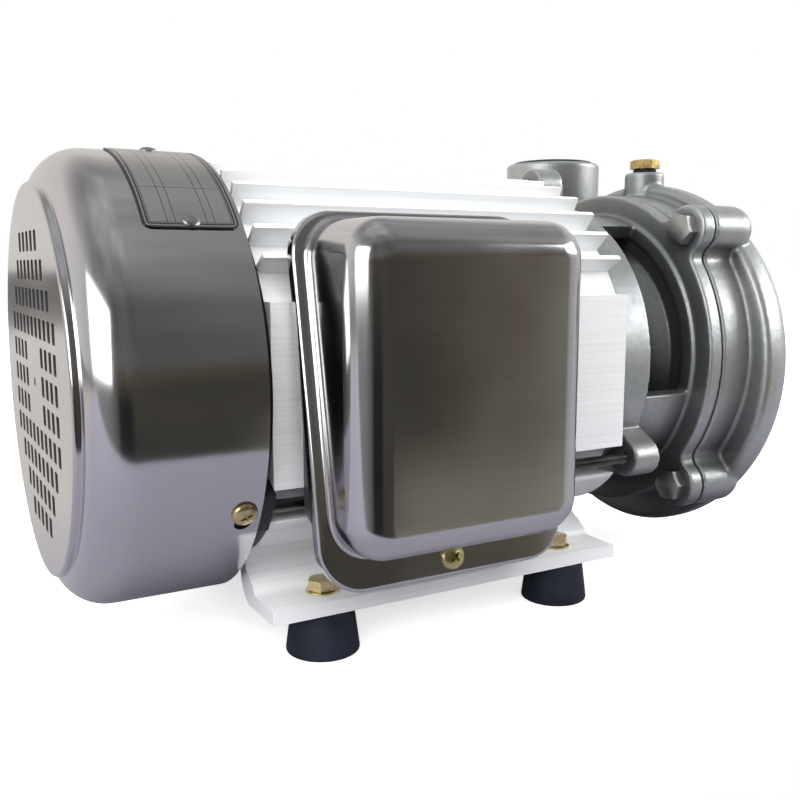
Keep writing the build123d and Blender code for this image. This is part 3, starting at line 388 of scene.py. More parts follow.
def finishes(colours):
    """Makes every finish."""
    sheet = worn_metal("polished_sheet", colours.sheet, (0.10, 0.18), (60, 1, 1), 40.0,
                       0.002 * MM, cloud=18.0, contrast=0.05)
    slanted = sheet.node("ShaderNodeVectorRotate", {"rotation_type": "Y_AXIS"},
                         {"Vector": sheet.place(), "Angle": radians(-38)})
    brushed = sheet.node("ShaderNodeVectorMath", {"operation": "MULTIPLY"},
                         {0: slanted, 1: (1.0, 0.2, 0.03)})
    strokes = sheet.node("ShaderNodeTexNoise", {}, {"Vector": brushed, "Scale": 1500.0})
    sheet.bump(strokes, 0.004 * MM, 0.7)
    # The cover's inside: unpolished sheet, darkened to 0.12 of the sheet's colour as painted shade
    # so the slots look dark
    worn_metal("bare_sheet", tinted(colours.sheet, 0.12), (0.45, 0.60), grain_scale=300.0,
               grain_depth=0.02 * MM, metallic=0.6)

    drawn = worn_metal("polished_drawn_sheet", colours.sheet, (0.10, 0.18), (1, 1, 30), 30.0,
                       0.001 * MM, cloud=22.0, contrast=0.06)
    drawn.bump(drawn.noise(20.0, detail=1), 0.7 * MM, 0.35)

    cast = Finish("cast_stainless", Metallic=0.86)
    clouds = cast.noise(30.0, detail=5)
    blast = cast.noise(1000.0, detail=3)
    sand = cast.noise(320.0, detail=4, roughness=0.65)
    pits = cast.pits(170.0, 0.16)
    base = colours.casting
    warm = (base[0] * 1.05, base[1] * 1.01, base[2] * 0.99)
    cool = (base[0] * 0.90, base[1] * 0.92, base[2] * 0.96)
    body = cast.blend(cast.spread(clouds, 0.35, 0.65), cool, warm)
    body = cast.blend(cast.spread(sand, 0.40, 0.75) * 0.35, body, tinted(base, 1.35))
    # Painted shade: darker in the inner corners of the casting
    body = cast.blend(cast.hollows() * 0.55, body, tinted(base, 0.45))
    body = cast.blend(cast.edges() * 0.75, body, tinted(base, 1.75))
    stain = cast.pits(34.0, 0.035) * cast.spread(cast.noise(12.0), 0.52, 0.6)
    body = cast.blend(stain, body, (0.24, 0.10, 0.04))
    body = cast.blend(pits * 0.5, body, tinted(base, 0.4))
    # Painted shade: the casting's colour darkens where ambient occlusion finds it enclosed, such
    # as inside the lantern
    painted_shade = cast.spread(cast.shade(85 * MM), 0.86, 0.38)
    cast.set("Base Color", cast.blend(painted_shade * 0.9, body, tinted(base, 0.14)))
    cast.set("Roughness", cast.spread(sand + clouds, 0.7, 1.3, 0.48, 0.34))
    cast.bump(blast, 0.06 * MM, 0.8)
    cast.bump(sand - pits * 0.7, 0.18 * MM, 0.6)

    extruded = Finish("anodised_aluminium", Metallic=0.12)
    die = extruded.noise(900.0, (0.008, 1, 1), detail=3, roughness=0.6)
    clouds = extruded.noise(20.0, detail=3)
    base = colours.extrusion
    body = extruded.blend(extruded.spread(die, 0.35, 0.65), tinted(base, 0.95), tinted(base, 1.04))
    body = extruded.blend(extruded.spread(clouds, 0.5, 0.75) * 0.2, body, tinted(base, 0.85))
    extruded.set("Base Color", body)
    extruded.set("Roughness", extruded.spread(die + clouds, 0.7, 1.3, 0.36, 0.52))
    extruded.bump(die, 0.03 * MM, 0.4)

    for slot, base, rough, grain, scale, depth, cloud, contrast in (
            ("bolt_steel", colours.fastener, (0.28, 0.44), (1, 1, 1), 900.0, 0.020, 160.0, 0.12),
            ("rod_steel", tinted(colours.fastener, 0.42), (0.22, 0.34), (1, 30, 30), 60.0, 0.010,
             90.0, 0.20),
            ("bearing_steel", (0.72, 0.73, 0.75), (0.08, 0.16), (1, 1, 1), 1200.0, 0.002, 90.0,
             0.05),
            ("shaft_steel", (0.62, 0.62, 0.63), (0.20, 0.32), (20, 1, 1), 120.0, 0.010, 50.0,
             0.12),
            ("dark_cast", (0.075, 0.075, 0.08), (0.45, 0.60), (1, 1, 1), 500.0, 0.100, 60.0,
             0.12),
            ("brass", colours.brass, (0.16, 0.34), (1, 1, 1), 900.0, 0.015, 180.0, 0.16)):
        worn_metal(slot, base, rough, grain, scale, depth * MM, cloud, contrast)
    plate_finish()

    zinc = worn_metal("zinc_yellow", colours.zinc, (0.22, 0.36), grain_scale=800.0,
                      grain_depth=0.015 * MM, cloud=220.0, contrast=0.10)
    sheen = zinc.spread(zinc.noise(260.0, detail=2), 0.35, 0.65)
    zinc.set("Base Color", zinc.blend(sheen, (0.60, 0.57, 0.24), (0.80, 0.60, 0.38)))

    rubber = Finish("rubber", Specular_IOR_Level=0.22)
    skin = rubber.noise(900.0, detail=3)
    bloom = rubber.spread(rubber.noise(90.0, detail=4), 0.45, 0.75)
    rubber.set("Base Color", rubber.blend(bloom * 0.6, colours.rubber, tinted(colours.rubber, 2)))
    rubber.set("Roughness", rubber.spread(skin + bloom, 0.4, 1.4, 0.42, 0.66))
    rubber.bump(skin, 0.08 * MM, 0.5)

    moulded = Finish("black_plastic", Specular_IOR_Level=0.45)
    grain = moulded.noise(1100.0, detail=2)
    film = moulded.noise(70.0, detail=4)
    moulded.set("Base Color", moulded.blend(moulded.spread(film, 0.4, 0.8), colours.plastic,
                                            tinted(colours.plastic, 2.2)))
    moulded.set("Roughness", moulded.spread(film + grain, 0.7, 1.3, 0.34, 0.55))
    moulded.bump(grain, 0.04 * MM, 0.5)

    coated = Finish("dark_sheet", Specular_IOR_Level=0.5, Coat_Roughness=0.2)
    peel = coated.noise(420.0, detail=2)
    film = coated.noise(45.0, detail=4)
    coated.set("Base Color", coated.blend(coated.spread(film, 0.4, 0.7), colours.coated,
                                          tinted(colours.coated, 1.8)))
    coated.set("Roughness", coated.spread(film, 0.3, 0.7, 0.28, 0.44))
    coated.bump(peel, 0.04 * MM, 0.5)

    core = Finish("core_steel", Metallic=0.8)
    layer = core.node("ShaderNodeTexWave", {"wave_type": "BANDS", "bands_direction": "X"},
                      {"Vector": core.place(), "Scale": 320.0, "Distortion": 0.4})
    rust = core.spread(core.noise(80.0, detail=4), 0.5, 0.75)
    body = core.blend(layer * 0.5, (0.20, 0.20, 0.21), (0.34, 0.34, 0.35))
    core.set("Base Color", core.blend(rust * 0.4, body, (0.20, 0.11, 0.06)))
    core.set("Roughness", core.spread(rust, 0, 1, 0.42, 0.62))
    core.bump(layer, 0.05 * MM, 0.6)

    copper = Finish("copper_windings", Metallic=0.75, Coat_Roughness=0.15)
    strand = copper.node("ShaderNodeTexWave", {"wave_type": "RINGS", "rings_direction": "X"},
                         {"Vector": copper.place(), "Scale": 190.0, "Distortion": 2.5,
                          "Detail": 2.0})
    varnish = copper.spread(copper.noise(60.0, detail=4), 0.35, 0.65)
    body = copper.blend(strand, (0.34, 0.13, 0.05), (0.70, 0.34, 0.16))
    copper.set("Base Color", copper.blend(varnish * 0.4, body, (0.45, 0.26, 0.08)))
    copper.set("Roughness", copper.spread(varnish, 0, 1, 0.25, 0.40))
    copper.set("Coat Weight", copper.spread(varnish, 0, 1, 0.3, 0.7))
    copper.bump(strand, 0.2 * MM, 0.7)

    for slot, tone, gloss in (("seal_ceramic", (0.80, 0.78, 0.72), (0.14, 0.24)),
                              ("seal_carbon", (0.045, 0.045, 0.047), (0.35, 0.50)),
                              ("grey_plastic", (0.66, 0.67, 0.66), (0.32, 0.46))):
        skin = Finish(slot, Specular_IOR_Level=0.5)
        speck = skin.noise(700.0, detail=3)
        film = skin.noise(55.0, detail=4)
        skin.set("Base Color", skin.blend(skin.spread(film + speck, 0.8, 1.3),
                                          tinted(tone, 0.9), tinted(tone, 1.08)))
        skin.set("Roughness", skin.spread(film, 0.3, 0.7, gloss[0], gloss[1]))
        skin.bump(speck, 0.02 * MM, 0.5)


def plate_finish():
    """Satin plate with a black border and thin rules, drawn from its UV map in metres."""
    plate = worn_metal("plate_metal", (0.62, 0.61, 0.60), (0.26, 0.36), (1, 1, 1), 900.0,
                       0.006 * MM, cloud=60.0, contrast=0.05)
    split = {"Vector": plate.node("ShaderNodeTexCoord", output="UV")}
    along, across = (plate.node("ShaderNodeSeparateXYZ", {}, split, output=k) for k in range(2))
    ink = None
    near = along.math("MINIMUM", across)
    inside = near > 2.2 * MM
    for place, inset, half in ((near, 0.3, 0.4), (near, 1.6, 0.3), (near, 2.3, 0.12),
                               (across, 8.2, 0.12), (across, 10.9, 0.12), (along, 20.0, 0.12)):
        line = abs(place - inset * MM) < half * MM
        if place is not near:
            line = line * inside
        ink = line if ink is None else (ink + line).clamped()
    body = Signal(plate, plate.shader.inputs["Base Color"].links[0].from_socket)
    plate.set("Base Color", plate.blend(ink, body, (0.02, 0.02, 0.022)))
    plate.set("Metallic", 1 - ink * 0.8)
    return plate


# Mesh work

def aimed(origin, direction, right=None):
    """Matrix whose local Z points along direction and whose local X is nearest to right."""
    z = Vector(direction).normalized()
    hint = Vector(right or ((0, 0, 1) if abs(z.z) < 0.9 else (1, 0, 0)))
    x = (hint - z * hint.dot(z)).normalized()
    y = z.cross(x)
    turned = Matrix((x, y, z)).transposed().to_4x4()
    return Matrix.Translation(origin) @ turned


def along_shaft(x=0.0):
    """Matrix at x on the shaft whose local Z runs along it and whose local X points up."""
    return aimed((x, SHAFT.y, SHAFT.z), (1, 0, 0), (0, 0, 1))


def off_shaft(x, radius, angle):
    """Matrix on a radius whose local Z points away from the shaft; angle from the top to -Y."""
    out = Vector((0, -sin(angle), cos(angle)))
    return aimed(Vector((x, SHAFT.y, SHAFT.z)) + out * radius, out, (1, 0, 0))


def round_shaft(x, radius, degrees):
    """Place at a radius from the shaft, turned from +Y towards +Z."""
    a = radians(degrees)
    return Vector((x, SHAFT.y + radius * cos(a), SHAFT.z + radius * sin(a)))


def rounded(bends, steps=6):
    """Open outline through bends (a, b, radius), each rounded where its radius isn't 0."""
    points = []
    for index, (a, b, radius) in enumerate(bends):
        here = Vector((a, b))
        if radius == 0 or index in (0, len(bends) - 1):
            points.append(here)
            continue
        back = (Vector(bends[index - 1][:2]) - here).normalized()
        ahead = (Vector(bends[index + 1][:2]) - here).normalized()
        half = back.angle(ahead) / 2
        centre = here + (back + ahead).normalized() * radius / sin(half)
        start = here + back * radius / tan(half) - centre
        stop = here + ahead * radius / tan(half) - centre
        for step in range(steps + 1):
            mix = step / steps
            full = start.angle(stop)
            arm = (start * sin((1 - mix) * full) + stop * sin(mix * full)) / sin(full)
            points.append(centre + arm)
    return points


def lathe(mesh, outline, segments=96, flip=False):
    """Adds a turned form: outline is (along, radius) from the local Z axis or back to it."""
    rows = []
    for along, radius in outline:
        if radius < 1e-7:
            rows.append([mesh.verts.new((0, 0, along))] * segments)
        else:
            rows.append([mesh.verts.new((radius * cos(2 * pi * k / segments),
                                         radius * sin(2 * pi * k / segments), along))
                         for k in range(segments)])
    stitch(mesh, rows, flip)
    return rows


def stitch(mesh, rows, flip=False):
    """Joins rows of vertices, each a closed loop of the same count, with faces."""
    for low, high in zip(rows, rows[1:]):
        for k in range(len(low)):
            following = (k + 1) % len(low)
            ring = list(dict.fromkeys((low[k], low[following], high[following], high[k])))
            if len(ring) > 2:
                mesh.faces.new(ring[::-1] if flip else ring)


def loop(mesh, points):
    """New vertices at these places."""
    return [mesh.verts.new(p) for p in points]


def fill(mesh, outer, holes=(), flip=False):
    """Flat faces between an outer ring of vertices and rings inside it."""
    rings = [outer, *holes]
    flat = [v for ring in rings for v in ring]
    for triple in tessellate_polygon([[v.co for v in ring] for ring in rings]):
        ring = [flat[k] for k in triple]
        mesh.faces.new(ring[::-1] if flip else ring)


def prism(mesh, low, high):
    """Closed prism between two rings of places."""
    low, high = loop(mesh, low), loop(mesh, high)
    stitch(mesh, [low, high])
    mesh.faces.new(high)
    mesh.faces.new(low[::-1])


def rounded_rectangle(width, height, radius, steps=8):
    """Closed outline about the origin, counter-clockwise."""
    points = []
    for quarter, (sx, sy) in enumerate(((1, 1), (-1, 1), (-1, -1), (1, -1))):
        cx = sx * (width / 2 - radius)
        cy = sy * (height / 2 - radius)
        for step in range(steps + 1):
            a = pi / 2 * (quarter + step / steps)
            points.append((cx + radius * cos(a), cy + radius * sin(a)))
    return points


def to_object(mesh, name, place=Matrix(), sharp=35):
    """Turns a bmesh into an object, shaded smooth except over sharp edges."""
    bmesh.ops.remove_doubles(mesh, verts=mesh.verts, dist=1e-7)
    bmesh.ops.recalc_face_normals(mesh, faces=mesh.faces)
    mesh.transform(place)
    data = bpy.data.meshes.new(name)
    mesh.to_mesh(data)
    mesh.free()
    data.shade_smooth()
    data.set_sharp_from_angle(angle=radians(sharp))
    piece = bpy.data.objects.new(name, data)
    bpy.context.scene.collection.objects.link(piece)
    return piece


def lathed(name, outline, segments, place=Matrix()):
    """A turned object from an outline of (along, radius)."""
    mesh = bmesh.new()
    lathe(mesh, outline, segments)
    return to_object(mesh, name, place)


def settle(piece, sharp=35):
    """Applies a piece's modifiers to its mesh."""
    bpy.context.view_layer.update()
    deps = bpy.context.evaluated_depsgraph_get()
    data = bpy.data.meshes.new_from_object(piece.evaluated_get(deps))
    piece.modifiers.clear()
    piece.data = data
    data.shade_smooth()
    data.set_sharp_from_angle(angle=radians(sharp))
    return piece


def cut(piece, tool, operation="DIFFERENCE"):
    """Cuts a closed piece with a closed tool, or keeps what both hold."""
    step = piece.modifiers.new("cut", "BOOLEAN")
    step.operation = operation
    step.solver = "EXACT"
    step.object = tool
    settle(piece)
    bpy.data.objects.remove(tool)
    return piece


def soften(piece, width, segments=2, angle=40):
    """Rounds a piece's sharp edges a little."""
    step = piece.modifiers.new("soft edges", "BEVEL")
    step.width = width
    step.segments = segments
    step.limit_method = "ANGLE"
    step.angle_limit = radians(angle)
    step.harden_normals = True
    return piece


def combine(pieces, name):
    """One object from several."""
    mesh = bmesh.new()
    for piece in pieces:
        mesh.from_mesh(piece.data)
        bpy.data.objects.remove(piece)
    return to_object(mesh, name)


def repeated(piece, places, name):
    """One object with a copy of piece at every matrix."""
    mesh = bmesh.new()
    for place in places:
        data = piece.data.copy()
        data.transform(place)
        mesh.from_mesh(data)
        bpy.data.meshes.remove(data)
    bpy.data.objects.remove(piece)
    return to_object(mesh, name)


def refined(node, name, bevel=0.3 * MM):
    """A copy of a CAD node with whole faces and softly rounded edges."""
    mesh = bmesh.new()
    mesh.from_mesh(frame["nodes"][node].data)
    bmesh.ops.remove_doubles(mesh, verts=mesh.verts, dist=1e-6)
    bmesh.ops.dissolve_limit(mesh, angle_limit=radians(0.5), verts=mesh.verts, edges=mesh.edges)
    return soften(to_object(mesh, name), bevel)


def cast_skin(node, name, voxel, passes):
    """A copy of a CAD node as a casting, with every edge and corner blended."""
    mesh = bmesh.new()
    mesh.from_mesh(frame["nodes"][node].data)
    piece = to_object(mesh, name)
    step = piece.modifiers.new("skin", "REMESH")
    step.mode = "VOXEL"
    step.voxel_size = voxel
    blend = piece.modifiers.new("blend", "SMOOTH")
    blend.factor = 0.5
    blend.iterations = passes
    return settle(piece, 180)


def dress(piece, slot, body, node, finish=None):
    """Gives a piece the finish of its slot or the one given, its body, and hides the node it
    stands for.
    """
    if piece.data.materials:
        piece.data.materials.clear()
    piece.data.materials.append(bpy.data.materials[finish_name(finish or slot)])
    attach(piece, body)
    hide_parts(node)


# Standard pieces

def pan_head_screw(fasteners, shank):
    """Pan-head screw with a cross recess; the head stands on local Z = 0."""
    radius, rise = fasteners.pan_radius, fasteners.pan_rise
    dome = [(rise - 0.9 * MM * (k / 5) ** 2, radius * 0.84 * k / 5) for k in range(6)]
    flank = [(rise - 1.35 * MM, radius * 0.95), (rise - 1.9 * MM, radius), (0.25 * MM, radius),
             (0, radius - 0.25 * MM), (0, fasteners.screw_radius),
             (-shank, fasteners.screw_radius), (-shank, 0)]
    screw = lathed("screw", dome + flank, 40)
    reach, half, taper = 2.6 * MM, 0.55 * MM, 0.55
    top, painted_shade = Vector((0, 0, rise + 0.4 * MM)), Vector((0, 0, rise - 1.7 * MM))
    tool = bmesh.new()
    for quarter in range(4):
        a = quarter * pi / 2
        out = Vector((cos(a), sin(a), 0)) * reach
        beside = Vector((-sin(a), cos(a), 0)) * half
        ring = [-beside, out - beside, out + beside, beside]
        prism(tool, [p * taper + painted_shade for p in ring], [p + top for p in ring])
    cross = to_object(tool, "cross")
    join = cross.modifiers.new("join", "REMESH")
    join.mode = "VOXEL"
    join.voxel_size = 0.12 * MM
    return cut(screw, settle(cross))


def hexagon_head(flats, height, shank_radius, shank):
    """Bolt with a hexagon head on local Z = 0 and a shank below; the head's top is chamfered."""
    across = flats / 2 / cos(pi / 6)
    chamfer = 0.06 * flats
    mesh = bmesh.new()
    ring = [(across * cos(k * pi / 3), across * sin(k * pi / 3)) for k in range(6)]
    prism(mesh, [(a, b, 0) for a, b in ring], [(a, b, height) for a, b in ring])
    head = to_object(mesh, "head")
    cut(head, lathed("chamfer", [(-1 * MM, 0), (-1 * MM, across * 1.1),
                                 (height - chamfer, across * 1.1), (height, flats / 2 * 0.93),
                                 (height, 0)], 72), "INTERSECT")
    rod = lathed("shank", [(0.2 * MM, 0), (0.2 * MM, shank_radius),
                           (-shank + 0.4 * MM, shank_radius),
                           (-shank, shank_radius - 0.4 * MM), (-shank, 0)], 40)
    return combine([head, rod], "bolt")


def threaded_rod(start, stop, radius, pitch, depth, segments=28):
    """Helical thread along local Z between start and stop, closed at both ends."""
    mesh = bmesh.new()
    ridge = ((0.0, 0.0), (0.35, 1.0), (0.5, 1.0), (0.85, 0.0))
    turns = int(ceil((stop - start) / pitch)) + 2
    columns = []
    for k in range(segments + 1):
        lead = k / segments
        column = []
        for turn_index in range(-1, turns):
            for share, raised in ridge:
                z = start + pitch * (turn_index + share + lead)
                r = radius - depth * (1 - raised)
                column.append((r, 2 * pi * lead, min(max(z, start), stop)))
        columns.append(column)
    grid = [[mesh.verts.new((r * cos(a), r * sin(a), z)) for r, a, z in column]
            for column in columns]
    for left, right in zip(grid, grid[1:]):
        for k in range(len(left) - 1):
            mesh.faces.new((left[k], right[k], right[k + 1], left[k + 1]))
    bmesh.ops.remove_doubles(mesh, verts=mesh.verts, dist=1e-6)
    bmesh.ops.dissolve_degenerate(mesh, edges=mesh.edges, dist=1e-6)
    bmesh.ops.holes_fill(mesh, edges=[e for e in mesh.edges if e.is_boundary])
    return to_object(mesh, "thread", sharp=80)


# Operators

class PUMP_OT_studio(bpy.types.Operator):
    """Pale floor, soft light and the camera at the photograph's angle"""
    bl_idname = "pump.studio"
    bl_label = "Studio"

    def execute(self, context):
        studio = context.scene.pump_studio
        context.scene.view_settings.view_transform = "Standard"
        self.floor(studio)
        self.sky(studio)
        for name, place, size, watts, glossy in (
                ("window", (-1.57, -0.57, 0.61), (0.95, 1.25), 11.0, True),
                ("side", (1.5, -0.8, 0.7), (0.5, 1.2), 10.0, True),
                ("back", (-0.6, 1.6, 0.9), (1.2, 1.0), 12.0, False),
                ("fill", (-0.7, -1.2, 1.4), (2.0, 2.0), 56.0, False),
                ("fill_back", (0.8, 1.3, 1.3), (2.0, 2.0), 24.0, False)):
            self.lamp(name, place, size, watts, glossy)
        self.camera(context, studio)
        return {"FINISHED"}

    def floor(self, studio):
        """White sheet that ends a hand's width in front of the box, so the metal mirrors a dim
        room there. The camera sees its paper, and reflections see its tint."""
        mesh = bmesh.new()
        side = studio.floor_size / 2
        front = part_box("terminal_box_cover")[0].y - studio.floor_front
        mesh.faces.new(loop(mesh, [(-side, front, 0), (side, front, 0), (side, side, 0),
                                   (-side, side, 0)]))
        floor = to_object(mesh, "floor")
        finish = Finish("floor", Specular_IOR_Level=0.1, Roughness=0.8, Emission_Strength=1.0)
        seen = finish.seen()
        paper = finish.blend(finish.noise(40.0, detail=3), (0.93, 0.93, 0.93), (0.97, 0.97, 0.97))
        y = finish.node("ShaderNodeSeparateXYZ", {}, {0: finish.place()}, output=1)
        tint = finish.blend(finish.spread(y, 0.0, 0.22), studio.floor_colour,
                            tinted(studio.back_colour, 0.47))
        finish.set("Base Color", finish.blend(seen, tint, paper))
        glow = studio.floor_glow
        finish.set("Emission Color", finish.blend(seen, (0, 0, 0), (glow, glow, glow)))
        floor.data.materials.append(finish.material)

    def sky(self, studio):
        """Room that the metal mirrors: dim in front, light at the sides, behind and above."""
        world = bpy.data.worlds.new("studio")
        bpy.context.scene.world = world
        world.use_nodes = True
        world.node_tree.nodes.clear()
        room = Shading(world.node_tree)
        away = room.node("ShaderNodeTexCoord", output="Generated")
        x, y, z = (room.node("ShaderNodeSeparateXYZ", {}, {0: away}, output=k) for k in range(3))
        turned = x.math("ARCTAN2", 0 - y) / (2 * pi) + 0.5
        light, white, black = studio.room_colour, (1, 1, 1), (0, 0, 0)
        dim, grey = (0.145, 0.125, 0.09), (0.16, 0.165, 0.17)
        ahead = room.ramp(z * 0.5 + 0.5, (
            (0.0, tinted(light, 0.5)), (0.05, (0.12, 0.115, 0.10)), (0.14, tinted(dim, 0.6)),
            (0.43, dim), (0.55, dim), (0.60, grey), (0.80, grey), (0.89, tinted(light, 0.45)),
            (0.96, tinted(light, 0.8)), (1.0, tinted(light, 0.85))))
        patches = room.node("ShaderNodeTexNoise", {},
                            {"Vector": away, "Scale": 2.6, "Detail": 3.0})
        walls = room.blend(room.spread(patches, 0.35, 0.65) * 0.5, ahead, tinted(dim, 0.45))
        below = room.spread(z, 0.2, 0.0)
        walls = room.blend(room.spread(turned, 0.612, 0.575) * below * 0.55, walls,
                           (0.012, 0.020, 0.025))
        cabinet = room.spread(turned, 0.385, 0.40) * room.spread(turned, 0.485, 0.465)
        walls = room.blend(cabinet * room.spread(z, 0.02, -0.12) * 0.8, walls,
                           (0.012, 0.013, 0.017))
        table = room.spread(turned, 0.560, 0.578) * room.spread(z, -0.19, -0.235)
        walls = room.blend(table, walls, (0.22, 0.21, 0.165))
        sides = room.ramp(turned, (
            (0.0, tinted(white, 0.9)), (0.20, white), (0.24, tinted(white, 0.75)),
            (0.27, tinted(white, 0.35)), (0.33, tinted(white, 0.28)), (0.375, tinted(white, 0.12)),
            (0.40, black), (0.612, black), (0.645, tinted(white, 0.55)),
            (0.70, tinted(white, 0.75)), (0.76, white), (1.0, tinted(white, 0.9))))
        lit = room.blend(room.spread(y, 0.25, 0.65), light, studio.back_colour)
        full = room.blend(sides.math("MULTIPLY", room.spread(z, 0.85, 0.55)), walls, lit)
        mirrored = room.node("ShaderNodeBackground", {}, {"Color": full, "Strength": 1.0})
        paper = room.node("ShaderNodeBackground", {}, {"Color": white, "Strength": 1.0})
        shown = room.node("ShaderNodeMixShader", {}, {0: room.seen(), 1: mirrored, 2: paper})
        room.node("ShaderNodeOutputWorld", {}, {0: shown}, output=None)

    def lamp(self, name, place, size, watts, glossy):
        """Soft light that faces the pump; one that isn't glossy leaves no highlight."""
        light = bpy.data.lights.new(name, "AREA")
        light.shape = "RECTANGLE"
        light.size, light.size_y = size
        light.energy = watts
        lamp = bpy.data.objects.new(name, light)
        lamp.matrix_world = aimed(place, Vector(place) - SHAFT)
        lamp.visible_glossy = glossy
        bpy.context.scene.collection.objects.link(lamp)

    def camera(self, context, studio):
        """Camera at the photograph's angle, level from side to side."""
        level = Vector((sin(studio.heading), cos(studio.heading), 0)) * cos(studio.dip)
        ahead = level - Vector((0, 0, sin(studio.dip)))
        right = Vector((cos(studio.heading), -sin(studio.heading), 0))
        data = bpy.data.cameras.new("camera")
        data.sensor_width = 36.0
        data.lens = studio.lens
        data.clip_start = 0.01
        data.clip_end = 100.0
        camera = bpy.data.objects.new("camera", data)
        feet = middle("rubber_feet")
        eye = Vector(studio.eye) + Vector((feet.x, feet.y, 0))
        camera.matrix_world = aimed(eye, -ahead, right)
        context.scene.collection.objects.link(camera)
        context.scene.camera = camera


class PUMP_OT_fan_cover(bpy.types.Operator):
    """Pressed fan cover with a rounded shoulder, a raised disc and rows of slots"""
    bl_idname = "pump.fan_cover"
    bl_label = "Fan cover"

    def execute(self, context):
        cover = context.scene.pump_fan_cover
        face, rim = span("fan_cover", 0)
        low, high = span("fan_cover", 1)
        radius = (high - low) / 2
        depth = rim - face
        groove = 0.8 * MM
        rows = []
        mesh = bmesh.new()
        for inset in (0.0, cover.wall):
            rise, disc = cover.disc_rise + inset, cover.disc_radius - inset
            wide, shoulder = radius - inset, cover.shoulder - inset
            outline = rounded([(depth, wide, 0), (rise, wide, shoulder),
                               (rise, disc - 20 * MM, 0)], 16)
            outline = [p for p in outline if p.y > disc + groove]
            step = self.meet(disc + groove, wide, shoulder, rise)
            outline += rounded([(outline[-1].x, outline[-1].y, 0), (step, disc, 0.7 * MM),
                                (inset, disc, cover.disc_edge), (inset, disc - 6 * MM, 0)],
                               5)[1:-1]
            done = len(mesh.faces)
            rows.append(lathe(mesh, outline, 160, flip=inset > 0))
            if inset:
                self.inside(mesh, done)
        stitch(mesh, [rows[0][0], rows[1][0]])
        self.slotted_disc(mesh, cover, rows)
        piece = to_object(mesh, "fan_cover_shell", along_shaft(face), sharp=50)
        for angle in (cover.screw_angle, -cover.screw_angle):
            cut(piece, self.slot_tool(cover, rim, radius, angle, context.scene.pump_fasteners))
        for flat in piece.data.polygons:
            flat.use_smooth = abs(flat.normal.x) < 0.9999
        dress(piece, "polished_sheet", "frame", "fan_cover")
        # Second material: the unpolished inside, darkened as painted shade
        piece.data.materials.append(bpy.data.materials[finish_name("bare_sheet")])
        return {"FINISHED"}

    def meet(self, radius, wide, shoulder, start):
        """Where along the shaft the rounded shoulder has this radius."""
        rise = radius - (wide - shoulder)
        return start + shoulder - (shoulder ** 2 - rise ** 2) ** 0.5

    def slots(self, cover):
        """Middles of the slots on the disc, as (across, up)."""
        half_rows = cover.rows // 2
        for row in range(-half_rows, half_rows + 1):
            count = min(cover.rows, cover.end_slots + 2 * (half_rows - abs(row)))
            for column in range(-(count // 2), count // 2 + 1):
                if abs(row) > 1 or abs(column) > 1:
                    yield column * cover.pitch_across, row * cover.pitch_up

    def slotted_disc(self, mesh, cover, rows):
        """Front and back faces of the disc, with the walls of every slot between them."""
        roll = 0.15 * MM
        levels = ((0.0, roll), (roll * 0.3, roll * 0.3), (roll, 0.0), (cover.wall, 0.0))
        front, back = [], []
        spots = [(a, b, cover.slot_width, cover.slot_height, 0.7 * MM)
                 for a, b in self.slots(cover)]
        spots.append((0.0, 0.0, 3.2 * MM, 3.2 * MM, 1.55 * MM))
        for across, up, width, height, corner in spots:
            done = len(mesh.faces)
            rings = []
            for along, grow in levels:
                outline = rounded_rectangle(height + 2 * grow, width + 2 * grow, corner + grow, 3)
                rings.append(loop(mesh, [(up + a, across + b, along) for a, b in outline]))
            stitch(mesh, rings)
            front.append(rings[0])
            back.append(rings[-1])
            self.inside(mesh, done)
        fill(mesh, rows[0][-1], front)
        done = len(mesh.faces)
        fill(mesh, rows[1][-1], back)
        self.inside(mesh, done)

    def inside(self, mesh, done):
        """Marks the faces made since a count as the cover's inside: unpolished, and darkened as
        painted shade.
        """
        mesh.faces.ensure_lookup_table()
        for face in mesh.faces[done:]:
            face.material_index = 1

    def slot_tool(self, cover, rim, radius, angle, fasteners):
        """Slot for a cover screw, which runs down from the screw."""
        mesh = bmesh.new()
        width = 2 * fasteners.screw_radius + 2.2 * MM
        shift = cover.travel / 2 * (1 if angle > 0 else -1)
        outline = rounded_rectangle(width, width + cover.travel, width / 2 - 0.01 * MM, 10)
        prism(mesh, *([(a, b - shift, z) for a, b in outline] for z in (-6 * MM, 6 * MM)))
        return to_object(mesh, "slot", off_shaft(rim - cover.screw_inset, radius, angle))


